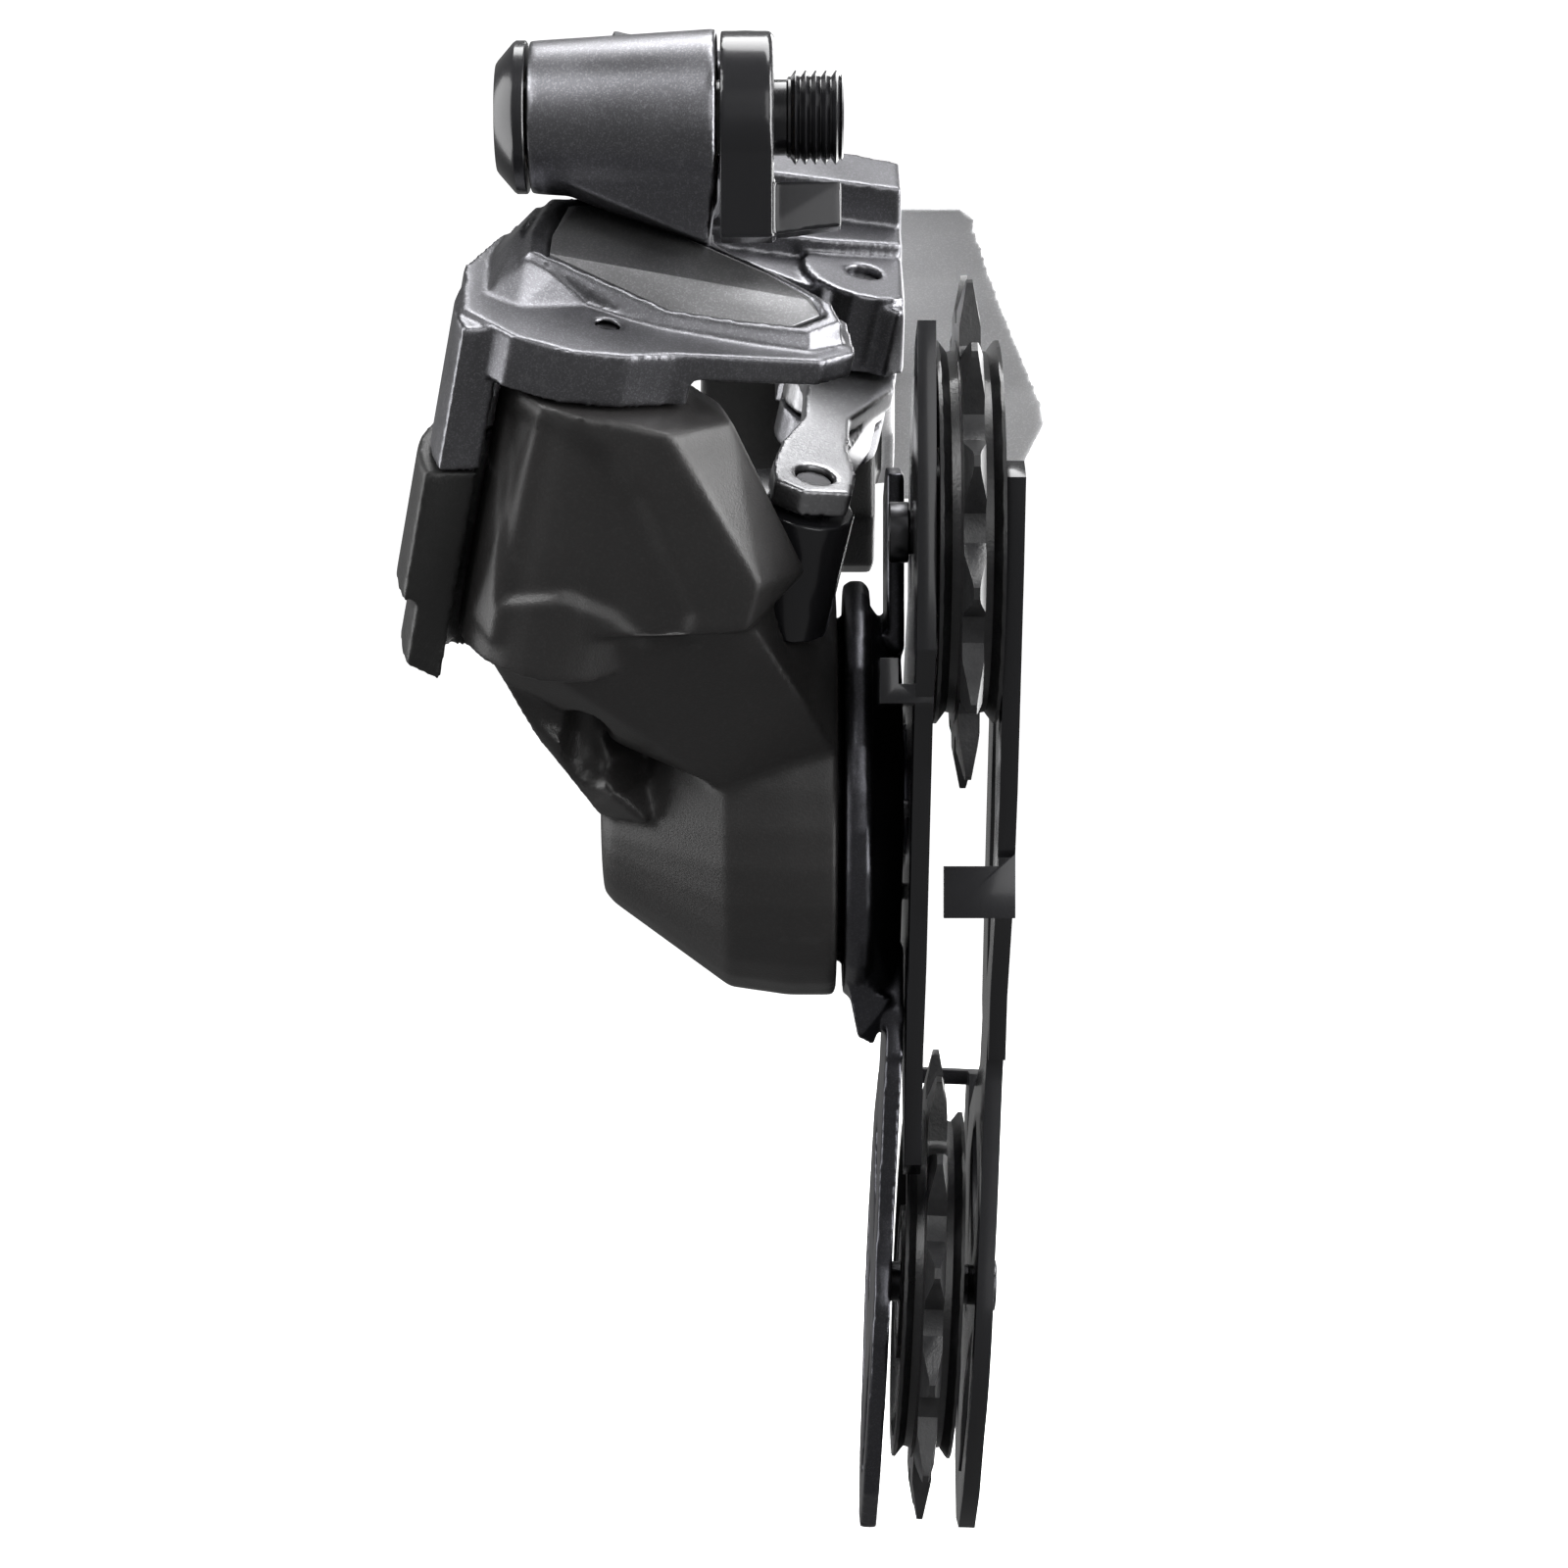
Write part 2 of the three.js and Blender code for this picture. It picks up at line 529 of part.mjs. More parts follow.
function knuckleHousing() {
  const inside = turned(CAGE_Y, CAGE_Z, [
    [-17, 0], [-17, 9.6], [-9, 12], [-4, 20.6], [9, 20.6], [9, 0],
  ]);
  const pinBore = disc(pinFrame, [0, 0], PIN_R + 0.05, -38, -4);
  const scoop = solid(
    new THREE.SphereGeometry(1, 14, 10),
    new THREE.Matrix4()
      .makeTranslation(-20.9, 15, -68.2)
      .multiply(new THREE.Matrix4().makeScale(3.2, 6.4, 7)),
  );
  const guardSweep = slab(
    pinFrame,
    [...arc(0, 0, 40, 264, 93, 16), ...arc(0, 0, 10.8, 93, 264, 16)],
    -49,
    12,
  );
  const linkSweep = slab(pinFrame, [[-60, -60], [60, -60], [60, 60], [-60, 60]], -6.4, 12);
  const [px, py] = INNER_P_PIN;
  const innerSweep = slab(
    pinFrame,
    [[px + 6.5, py - 6], ...arc(px, py, 46, 70, 150, 9), [px - 5, py - 6]],
    -24.8,
    -5,
  );
  const body = cut(
    housingCore(), guardSweep, linkSweep, innerSweep, inside, pinBore, scoop, innerBossShape(0.3),
  );
  addNode("knuckle_housing", "polymer", body);
}

function innerBossShape(grow) {
  const [px, py] = INNER_P_PIN;
  return strap(
    pinFrame, [[px, py, 5.2 + grow], [px - 3, py + 3, 5 + grow]], -33 - grow, -18.8 + grow, 7,
  );
}

function innerPinBoss() {
  addNode(
    "inner_pin_boss",
    "gloss",
    cut(innerBossShape(0), disc(pinFrame, INNER_P_PIN, PIN_R + 0.05, -29, -17)),
  );
}

function knucklePins() {
  addNode("outer_link_front_pin", "steel", disc(pinFrame, [0, 0], PIN_R - 0.05, -37, -0.6));
  addNode("inner_link_front_pin", "steel", disc(pinFrame, INNER_P_PIN, PIN_R - 0.05, -28, -15.6));
}

function coil(radius, wire, fromX, toX, turns) {
  const stepsPerTurn = 14;
  const points = Array.from({ length: turns * stepsPerTurn + 1 }, (_, i) => {
    const a = (2 * Math.PI * i) / stepsPerTurn;
    const x = fromX + ((toX - fromX) * i) / (turns * stepsPerTurn);
    return new THREE.Vector3(x, CAGE_Y + radius * Math.cos(a), CAGE_Z + radius * Math.sin(a));
  });
  const section = outline(arc(0, 0, wire / 2, 0, 300, 5));
  const geometry = new THREE.ExtrudeGeometry(section, {
    steps: turns * stepsPerTurn,
    bevelEnabled: false,
    extrudePath: new THREE.CatmullRomCurve3(points),
  });
  return solid(geometry);
}

function cageSprings() {
  addNode("cage_spring_large", "spring", coil(17.5, 2, -2.2, 5.2, 3));
  addNode("cage_spring_small", "spring", coil(8, 1.4, -15.2, -8, 4));
  const drum = [[-6, 6.2], [-6, 13], [5.4, 13], [5.4, 6.2]];
  addNode("friction_drum", "steel", turned(CAGE_Y, CAGE_Z, drum, 28));
  const bush = [[-16.6, CAGE_AXLE_R + 0.1], [-16.6, 6], [-7, 6], [-7, CAGE_AXLE_R + 0.1]];
  addNode("cage_axle_bush", "bronze", turned(CAGE_Y, CAGE_Z, bush, SMALL_ROUND));
}

// ---------- cage ----------
// A plate in the plane of the cage whose lower part leans outboard from the bend.
function leanMatrix(x) {
  return new THREE.Matrix4()
    .makeTranslation(x, 0, BEND_Z)
    .multiply(new THREE.Matrix4().makeRotationY(CAGE_LEAN))
    .multiply(new THREE.Matrix4().makeTranslation(-x, 0, -BEND_Z));
}

function endOutline(waistFront, waistRear) {
  // Runs from the waist round the tension wheel's cover and back up.
  return [
    [waistFront, BEND_Z + 3], [waistFront + 1.5, BEND_Z - 6], [38.5, -122],
    ...arc(TENSION.y, TENSION.z, 22.5, 168, 225, 5),
    [50, -156.5], [57, -162], [64, -162.2], [73, -156],
    ...arc(TENSION.y, TENSION.z, 20, -40, 30, 6),
    [72, -112], [waistRear + 2, BEND_Z - 5], [waistRear, BEND_Z + 3],
  ];
}
const END_WINDOWS = [
  [[47, -119], [56, -112], [62, -114], [57, -121], [50, -127]],
  [[44.5, -136], [50, -140], [57, -147], [62, -156], [56, -155], [48, -147]],
  [[71, -127], [76, -124], [77.6, -133], [74, -146], [69, -152], [67, -144], [71, -137]],
];

function cageArm() {
  const flange = turned(CAGE_Y, CAGE_Z, [
    [HUB_OUTER_X - 1.6, 0], [HUB_OUTER_X - 1.6, 20.1], [HUB_OUTER_X, 20.1], [HUB_OUTER_X, 23.9],
    [HUB_OUTER_X + 0.9, HUB_R], [10.2, HUB_R], [11, 23.7], [11, 0],
  ]);
  const raised = faceted(world, [
    ...arc(CAGE_Y, CAGE_Z, 22.8, 50, 310, 14).map(([y, z]) => [10.4, y, z]),
    ...arc(CAGE_Y, CAGE_Z, 17, 60, 300, 10).map(([y, z]) => [14.6, y, z]),
    [10.4, 58, -58], [10.4, 60, -88], [10.4, 36, -100.5], [14.4, 37, -97.5], [10.4, 52, -99],
    [14.4, 52, -96], [14.4, 54, -80],
  ]);
  const lip = faceted(world, [
    [8.2, 30, -93], [13.4, 32, -96], [9.6, 33, -100.6], [11.4, 36, -101.6], [9.6, 46, -99],
    [13.6, 50, -97], [8.2, 46, -93],
  ]);
  const upper = slab(sideFrame, [[33, -90], [33.5, -103], [54, -103], [58, -90]], ...ARM_X);
  const strut = slab(sideFrame, [[30, -56], [50, -56], [50, -36.5], [40, -34], [30, -35.5]], ...ARM_X);
  const lower = slab(
    leanMatrix(ARM_X[0]).multiply(sideFrame),
    endOutline(33, 56),
    ...ARM_X,
    END_WINDOWS,
  );
  const axle = disc(sideFrame, [CAGE_Y, CAGE_Z], CAGE_AXLE_R + 0.05, 0, 20);
  const tensionHole = disc(leanedPulley(), [0, 0], 2.6, -10, 10);
  addNode("cage_outer_arm", "satin", cut(join(flange, raised, lip, upper, lower, strut), axle, tensionHole));
}

function guidePlate() {
  const face = slab(
    sideFrame,
    [
      [-3, -22], [8, -24], [20, -31], [27, -40], [29, -50], [40, -56], [55, -66], [57, -80],
      [54, -98], [47, -112],
      [44, -117.5], [40, -116], [35, -104], [24, -92], [5, -63], [-2.6, -57], [-4.4, -40],
    ],
    ...GUIDE_PLATE_X,
    [arc(CAGE_Y, CAGE_Z, 9, 0, 345, 20)],
  );
  const web = block(world, [11.4, GUIDE_PLATE_X[1]], [3.5, 14], [-62.5, -60.4]);
  const foot = block(world, [11.4, 13.4], [3.5, 14.6], [-62.5, -57.6]);
  const bolt = disc(sideFrame, [GUIDE.y, GUIDE.z], 2.6, 10, 20);
  const screws = HUB_SCREWS.map(([y, z]) => disc(sideFrame, [y, z], 1.3, 10, 20, 12));
  addNode("chain_guide_plate", "steel", cut(join(face, web, foot), bolt, ...screws));
}

const HUB_SCREWS = [[28, -74], [47, -61], [48, -84]];

function hubScrews() {
  HUB_SCREWS.forEach(([y, z], i) => {
    const head = disc(
      sideFrame, [y, z], 1.9, GUIDE_PLATE_X[1] + 0.02 - 0.6, GUIDE_PLATE_X[1] + 0.02, 12,
    );
    addNode(
      `guide_plate_rivet_${i + 1}`,
      "silver",
      cut(disc(sideFrame, [y, z], 1, 14.75, GUIDE_PLATE_X[1] - 0.1, 12), head),
    );
  });
}

function innerPlate() {
  const upper = slab(
    sideFrame,
    [
      [0, -38.4], [3, -36.4], [17, -35.8], [26, -36.6], [29, -43], [34, -58], [44, -78], [52, -97],
      [50.5, -103.5], [37.5, -103.5],
      [34, -96], [22, -84], [14.5, -72], [8.5, -59], [3.4, -48],
    ],
    ...INNER_PLATE_X,
    [[[19, -56], [26, -60], [36, -82], [41, -94], [35, -90], [25, -76]]],
  );
  const lean = leanMatrix(INNER_PLATE_X[0]);
  const lower = slab(
    lean.clone().multiply(sideFrame),
    endOutline(38, 51),
    ...INNER_PLATE_X,
    END_WINDOWS,
  );
  const keeper = join(
    slab(
      frontFrame,
      [[18.9, -80.4], [25.2, -80.4], [26.9, -79], [26.9, -86.2], [18.9, -86.2]],
      -19.6,
      -18,
    ),
    block(world, [25, 26.9], [18, 24], [-86.2, -79.4]),
  );
  const lowerKeeper = join(
    block(lean, [18.6, 26.6], [80, 84], [-109.8, -108]),
    block(lean, INNER_PLATE_X, [75, 84], [-136, -108]),
  );
  const holes = [
    disc(sideFrame, [GUIDE.y, GUIDE.z], 2.6, 20, 30),
    disc(leanedPulley(), [0, 0], 2.6, 0, 12),
  ];
  addNode("cage_inner_plate", "steel", cut(join(upper, lower, keeper, lowerKeeper), ...holes));
}

function cageAxle() {
  const profile = [
    [-16.8, 0], [-16.8, CAGE_AXLE_R - 0.05], [14.9, CAGE_AXLE_R - 0.05], [14.9, 7.6], [15.5, 7.9],
    [16.4, 7.4], [16.4, 0],
  ];
  const key = slab(sideFrame, hexagon(CAGE_Y, CAGE_Z, 5), 13, 18);
  addNode("cage_axle", "silver", cut(turned(CAGE_Y, CAGE_Z, profile, 28), key));
}

// ---------- wheels ----------
const guideFrame = () =>
  new THREE.Matrix4().makeTranslation(GUIDE.x, GUIDE.y, GUIDE.z).multiply(sideFrame);
function leanedPulley() {
  return new THREE.Matrix4()
    .makeTranslation(TENSION.x, TENSION.y, TENSION.z)
    .multiply(new THREE.Matrix4().makeRotationY(CAGE_LEAN))
    .multiply(sideFrame);
}

function toothedOutline(phase) {
  const half = [
    [-0.5, ROOT_R], [-0.36, 23], [-0.27, 24.4], [-0.17, 26.4], [-0.09, 28.1], [-0.045, TIP_R],
  ];
  const tooth = [...half, ...half.slice(1).reverse().map(([t, r]) => [-t, r])];
  return Array.from({ length: TEETH }, (_, i) =>
    tooth.map(([t, r]) => {
      const a = (2 * Math.PI * (i + t + phase)) / TEETH;
      return [r * Math.cos(a), r * Math.sin(a)];
    }),
  ).flat();
}

function wheel(prefix, frame, phase) {
  const toothed = slab(frame, toothedOutline(phase), -TOOTH_HALF, TOOTH_HALF);
  const drum = join(
    disc(frame, [0, 0], DRUM_R, -DRUM_HALF, DRUM_HALF, ROUND),
    toothed,
  );
  const dish = (low, high) => ring(frame, [0, 0], 18.8, 9.4, low, high, 30);
  const body = cut(drum, disc(frame, [0, 0], 7.1, -5, 5, 28), dish(1.4, 5), dish(-5, -1.4));
  addNode(`${prefix}_wheel`, "polymer", body);
  addNode(`${prefix}_bearing`, "spring", ring(frame, [0, 0], 6.8, 3.6, -2, 2, 24));
  for (const [side, low, high] of [["outer", -3.4, -2.2], ["inner", 2.2, 3.4]]) {
    addNode(`${prefix}_dust_cap_${side}`, "steel", ring(frame, [0, 0], 6.8, 2.75, low, high, 24));
  }
}

function wheelBolts() {
  const guideBolt = cut(
    join(disc(guideFrame(), [0, 0], 2.45, -7, 5.7), disc(guideFrame(), [0, 0], 3.4, -8.4, -6.2)),
    slab(guideFrame(), hexagon(0, 0, 3), -9, -6.8),
  );
  addNode("guide_wheel_bolt", "steel", guideBolt);
  const tensionBolt = cut(
    join(disc(leanedPulley(), [0, 0], 2.45, -5, 7.2), disc(leanedPulley(), [0, 0], 3.1, 7.15, 8.5)),
    slab(leanedPulley(), hexagon(0, 0, 3), 7.6, 9.5),
  );
  addNode("tension_wheel_bolt", "steel", tensionBolt);
}

mountingBolt();
axleCap();
stopPlate();
axleBushes();
bracketBody();
linkPins();
adjustScrew();
driveUnitShell();
driveUnitLid();
batteryDoor();
driveInternals();
outerLink();
linkGuard();
innerLink();
knuckleHousing();
innerPinBoss();
knucklePins();
cageSprings();
cageArm();
guidePlate();
hubScrews();
innerPlate();
cageAxle();
wheel("guide", guideFrame(), 0.1);
wheel("tension", leanedPulley(), 0.15);
wheelBolts();

export default root;
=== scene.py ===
"""Finished look of a rear derailleur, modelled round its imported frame."""
import math

import bpy
from bpy.props import FloatProperty, FloatVectorProperty, IntProperty, PointerProperty
from mathutils import Matrix, Vector


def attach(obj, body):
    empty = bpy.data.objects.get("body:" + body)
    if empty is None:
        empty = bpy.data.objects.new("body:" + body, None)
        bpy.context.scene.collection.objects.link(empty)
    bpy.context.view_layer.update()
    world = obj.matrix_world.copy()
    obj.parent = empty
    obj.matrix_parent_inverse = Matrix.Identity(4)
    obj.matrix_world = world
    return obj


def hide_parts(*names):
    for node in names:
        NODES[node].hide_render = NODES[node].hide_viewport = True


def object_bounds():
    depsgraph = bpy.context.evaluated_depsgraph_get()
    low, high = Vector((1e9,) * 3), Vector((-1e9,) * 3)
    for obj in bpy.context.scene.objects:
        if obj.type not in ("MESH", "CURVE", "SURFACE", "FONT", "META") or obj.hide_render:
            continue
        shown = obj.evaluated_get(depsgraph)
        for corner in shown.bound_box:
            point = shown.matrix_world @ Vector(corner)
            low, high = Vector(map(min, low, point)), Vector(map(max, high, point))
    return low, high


bl_info = {
    "name": "Rear Derailleur",
    "version": (1, 0, 0),
    "blender": (4, 5, 0),
    "location": "3D View > Sidebar > Derailleur",
    "description": "Models and finishes the pieces of a rear derailleur",
    "category": "Object",
}

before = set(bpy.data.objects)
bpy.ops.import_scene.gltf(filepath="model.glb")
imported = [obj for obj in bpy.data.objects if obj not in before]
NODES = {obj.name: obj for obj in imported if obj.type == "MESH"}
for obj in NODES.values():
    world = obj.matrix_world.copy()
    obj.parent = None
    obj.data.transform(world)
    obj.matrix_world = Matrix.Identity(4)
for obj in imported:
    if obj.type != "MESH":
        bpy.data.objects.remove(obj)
CAD_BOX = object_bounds()
MM = 0.001

# The four link pins are parallel. Across, up and along them, from the outer link's lower pin.
PIN_ORIGIN = Vector((-17.23, -12.0, -23.46)) * MM
PIN_ALONG = Vector((0.2, -0.5, 0.84)).normalized()
PIN_UP = PIN_ALONG.cross(Vector((1, 0, 0))).normalized()
PIN_ACROSS = PIN_UP.cross(PIN_ALONG)
PIN_FRAME = Matrix((PIN_ACROSS, PIN_UP, PIN_ALONG)).transposed().to_4x4()
PIN_FRAME.translation = PIN_ORIGIN
# The same frame for a piece that was turned about X.
PIN_AXIS = PIN_FRAME @ Matrix.Rotation(-math.pi / 2, 4, "Y")

# Outlines of the hollows in the front of the knuckle housing.
FRONT_PANEL = [
    (-29, -30), (-24.5, -32.5), (-17, -36.5), (-13.2, -41), (-10.6, -47), (-7.6, -53), (-8.4, -56.8),
    (-14, -57.6), (-17.5, -54.4), (-22, -52.6), (-30, -53),
]
LOWER_LEDGE = [(-31, -66.5), (-22, -68.5), (-12, -66), (-14, -71), (-20, -74), (-31, -74)]

# The raised island on the outer link, in the pins' frame: its tilted rim, its foot, the shoulder that
# carries it round to the link's wall, and the ridge of the inlay in it.
ISLAND_RIM = [
    (-9.2, 7, 3.3), (-9.2, 12, 3.6), (-7.7, 22, 3.6), (-4.1, 23.6, 3.6), (7.1, 19.2, 3.6), (17.3, 13.3, 3.5),
    (23.1, 9.2, 3.1), (24.4, 6.3, 2.4), (21.1, 3.4, 1.7), (14.1, 2.6, 1.5), (6, 2.2, 1.4), (-0.5, 4.8, 1.8),
]
ISLAND_FOOT = [
    (-11.8, 7, -0.6), (-12, 13, -0.6), (-9.4, 23, -0.6), (-4.4, 25.4, -0.6), (8, 21, -0.6),
    (18.6, 14.6, -0.6),
    (24.6, 9.6, -0.6), (25.2, 5.6, -0.6), (21.4, 2.0, -0.6), (14.2, 0.9, -0.6), (6, 0.6, -0.6),
    (-1, 3.1, -0.6),
]
SHOULDER = [
    (-9.4, 6.8, 2.6), (-10.6, 13, 3), (-9, 21, 2.9), (-14.6, 8, -2), (-14, 14, -2), (-10.5, 22, -2),
    (-13.8, 0, -2),
    (-6.5, 5.2, 1.9), (-3, 3.6, 0.3), (-9.5, -1, -0.4), (-12.5, 2, 0.2),
]
INLAY_RIDGE = [
    (-4.2, 10.2, 3.5), (-4.9, 20.2, 3.85), (-3.4, 21.3, 3.85), (6.6, 17.4, 3.85), (16.2, 11.9, 3.7),
    (20.4, 8.4, 3.2),
]

# The drive unit's shell is black outboard of this plane, and pale inboard of it, where the pale is painted
# rim light from the soft box behind on the right.
RIM_LIGHT_PAINTED_FROM = 12.8 * MM

# The neck that runs down from the bracket's tube, above the outer link.
NECK = [
    (-24.8, -4.4, -6.4), (-24.8, 5, -6.4), (-6.3, -5.6, -7.2), (-6.3, 6, -7.2), (-22, -0.5, -8.4),
    (-7, -1.2, -13.5), (-7, 8, -13), (-20, 9, -8),
]
# The bracket's tube, as (x, radius) at its outer and inner end.
TUBE_ENDS = ((-26, 8.05), (-6.1, 9.35))

# The mounting thread's ridges.
THREAD_START = 1.75
THREAD_STEP = 1.08
THREAD_TURNS = 5
THREAD_ROOT = 4.3
THREAD_CREST = 4.97

# The wheels' centres, and how far the tension wheel leans with the cage.
GUIDE_CENTRE = (21.05, 15, -43.3)
TENSION_CENTRE = (18.6, 61, -132.6)
TENSION_LEAN = 2.4

# The studio, in metres: each soft box's width, height and place, what they aim at, and the camera.
SOFT_BOXES = {
    "key": (0.7, 0.5, (-0.55, -0.55, 0.55)),
    "rim": (0.8, 0.9, (0.55, 0.7, 0.05)),
    "fill": (0.6, 0.6, (0.35, -0.8, 0.1)),
    "top": (0.6, 0.3, (0.1, 0.1, 0.6)),
    "left": (0.5, 0.9, (-0.8, 0.1, 0.0)),
    "right": (0.3, 0.9, (0.7, -0.12, 0.05)),
}
LIGHT_AIM = (0, 0.02, -0.07)
CAMERA_PLACE = (0.00105, -0.4, -0.0712)
CAMERA_LENS = 85.95


def shrunk(points, share, lift):
    """An outline drawn in toward its middle, and raised."""
    middle = sum((Vector(point) for point in points), Vector()) / len(points)
    return [
        (middle.x + (x - middle.x) * share, middle.y + (y - middle.y) * share, height + lift)
        for x, y, height in points
    ]


# ---------- settings ----------
class DerailleurSizes(bpy.types.PropertyGroup):
    edge: FloatProperty(
        name="Edge radius", description="Rounding of machined edges",
        default=0.00035, min=0.0, unit="LENGTH",
    )
    fine_edge: FloatProperty(
        name="Fine edge radius", description="Rounding of screw heads and thin plates",
        default=0.00018, min=0.0, unit="LENGTH",
    )
    mould_grid: FloatProperty(
        name="Mould grid", description="Spacing of the surface grid on moulded and forged pieces",
        default=0.00045, min=0.0002, unit="LENGTH",
    )
    rounding: IntProperty(
        name="Mould rounding", description="Smoothing passes on moulded and forged pieces",
        default=7, min=0,
    )


class DerailleurColours(bpy.types.PropertyGroup):
    graphite: FloatVectorProperty(
        name="Graphite alloy", description="Anodised colour of the bracket and outer link",
        default=(0.15, 0.15, 0.16), subtype="COLOR", min=0, max=1,
    )
    silver: FloatVectorProperty(
        name="Forged alloy", description="Colour of the bare inner link",
        default=(0.3, 0.3, 0.31), subtype="COLOR", min=0, max=1,
    )
    polymer: FloatVectorProperty(
        name="Glass filled polymer", description="Colour of the knuckle housing",
        default=(0.022, 0.021, 0.021), subtype="COLOR", min=0, max=1,
    )


class DerailleurStudio(bpy.types.PropertyGroup):
    key: FloatProperty(
        name="Key light", description="Large soft box, high on the left", default=9.0, subtype="POWER",
    )
    rim: FloatProperty(
        name="Rim light", description="Soft box behind, on the right", default=11.0, subtype="POWER",
    )
    fill: FloatProperty(
        name="Fill light", description="Wide soft box in front", default=2.5, subtype="POWER",
    )
    top: FloatProperty(name="Top light", description="Soft box above", default=5.0, subtype="POWER")
    left: FloatProperty(
        name="Left light", description="Tall soft box on the left", default=6.0, subtype="POWER",
    )
    right: FloatProperty(
        name="Right light", description="Tall soft box on the right", default=12.0, subtype="POWER",
    )


# ---------- modelling ----------
def pick(*pieces):
    """Makes these the only selected objects, and the last of them active."""
    if bpy.context.object and bpy.context.object.mode != "OBJECT":
        bpy.ops.object.mode_set(mode="OBJECT")
    bpy.ops.object.select_all(action="DESELECT")
    for piece in pieces:
        piece.select_set(True)
        bpy.context.view_layer.objects.active = piece


def edit(piece):
    """Picks a piece and opens its mesh."""
    pick(piece)
    bpy.ops.object.mode_set(mode="EDIT")


def leave_edit():
    bpy.ops.object.mode_set(mode="OBJECT")


def copied(node, name):
    """A copy of a CAD node with its corners merged and its flat faces whole."""
    piece = bpy.data.objects.new(name, NODES[node].data.copy())
    bpy.context.scene.collection.objects.link(piece)
    piece.data.materials.clear()
    pick(piece)
    bpy.ops.mesh.customdata_custom_splitnormals_clear()
    edit(piece)
    bpy.ops.mesh.select_all(action="SELECT")
    bpy.ops.mesh.remove_doubles(threshold=2e-6)
    bpy.ops.mesh.dissolve_limited(angle_limit=math.radians(1.5))
    bpy.ops.mesh.normals_make_consistent(inside=False)
    leave_edit()
    return piece


def apply(piece, kind, **values):
    """Adds a modifier with these values and applies it."""
    modifier = piece.modifiers.new(kind.title(), kind)
    for key, value in values.items():
        setattr(modifier, key, value)
    pick(piece)
    bpy.ops.object.modifier_apply(modifier=modifier.name)


def rounded(piece, width, segments=3, angle=32):
    """Bevels the edges that turn more than this angle, as a machined piece's are broken."""
    apply(
        piece, "BEVEL", width=width, segments=segments, limit_method="ANGLE",
        angle_limit=math.radians(angle), use_clamp_overlap=True, miter_outer="MITER_ARC",
    )
    smooth(piece)


def smooth(piece, angle=38):
    """Shades a piece smooth, apart from the edges that turn more than this angle."""
    pick(piece)
    bpy.ops.object.shade_smooth_by_angle(angle=math.radians(angle))


def turned(name, y, z, profile, sides=64):
    """Turns a closed profile of (x, radius) points, in millimetres, about an axis along X.

    A profile that starts and ends on the axis gives a solid, and any other a ring."""
    points = [(x * MM, radius * MM) for x, radius in profile]
    solid = points[0][1] == 0
    rings = points[1:-1] if solid else [*points, points[0]]
    x, radius = rings[0]
    bpy.ops.object.select_all(action="DESELECT")
    bpy.ops.mesh.primitive_circle_add(
        vertices=sides, radius=radius, location=(x, y * MM, z * MM), rotation=(0, math.pi / 2, 0),
        fill_type="NGON" if solid else "NOTHING",
    )
    piece = bpy.context.object
    piece.name = name
    pick(piece)
    bpy.ops.object.transform_apply(location=True, rotation=True, scale=True)
    edit(piece)
    bpy.ops.mesh.select_mode(type="EDGE")
    bpy.ops.mesh.select_all(action="SELECT")
    for next_x, next_radius in rings[1:]:
        bpy.ops.mesh.extrude_region_move(TRANSFORM_OT_translate={"value": (next_x - x, 0, 0)})
        grow = next_radius / radius
        bpy.ops.transform.resize(value=(1, grow, grow), center_override=(next_x, y * MM, z * MM))
        x, radius = next_x, next_radius
    bpy.ops.mesh.select_all(action="SELECT")
    bpy.ops.mesh.remove_doubles(threshold=1e-6)
    bpy.ops.mesh.normals_make_consistent(inside=False)
    leave_edit()
    return piece


def hulled(name, points, frame_matrix=Matrix.Identity(4)):
    """A faceted solid through these corners, in millimetres."""
    mesh = bpy.data.meshes.new(name)
    mesh.from_pydata([frame_matrix @ (Vector(point) * MM) for point in points], [], [])
    piece = bpy.data.objects.new(name, mesh)
    bpy.context.scene.collection.objects.link(piece)
    edit(piece)
    bpy.ops.mesh.select_all(action="SELECT")
    bpy.ops.mesh.convex_hull()
    leave_edit()
    return piece


def joined(piece, *others):
    """Puts other pieces, which are used up, into the first one's mesh."""
    pick(*others, piece)
    bpy.ops.object.join()
    return piece


def carved(piece, tool, operation="DIFFERENCE"):
    """Cuts a piece with another, which is used up."""
    apply(piece, "BOOLEAN", object=tool, operation=operation, solver="EXACT")
    bpy.data.objects.remove(tool)
    return piece


def turn_to(piece, frame_matrix):
    """Moves a piece that was modelled about X to another frame."""
    piece.matrix_world = frame_matrix
    pick(piece)
    bpy.ops.object.transform_apply(location=True, rotation=True, scale=True)
    return piece


def pressed(piece, outline, depth, soft):
    """Presses a soft-edged hollow into the front of a piece, inside an (x, z) outline in millimetres."""
    corners = [Vector((x, z)) * MM for x, z in outline]
    edges = list(zip(corners, corners[1:] + corners[:1]))
    moves = []
    for vertex in piece.data.vertices:
        faces_front = vertex.normal.y <= -0.15
        if not faces_front:
            continue
        spot = Vector((vertex.co.x, vertex.co.z))
        inside = False
        nearest = 1.0
        for a, b in edges:
            spans = (a.y > spot.y) != (b.y > spot.y)
            if spans and spot.x < (b.x - a.x) * (spot.y - a.y) / (b.y - a.y) + a.x:
                inside = not inside
            along = max(0.0, min(1.0, (spot - a).dot(b - a) / (b - a).length_squared))
            nearest = min(nearest, (spot - a - (b - a) * along).length)
        if inside:
            share = min(1.0, nearest / (soft * MM))
            moves.append((vertex, depth * MM * share * share * (3 - 2 * share)))
    for vertex, distance in moves:
        vertex.co.y += distance


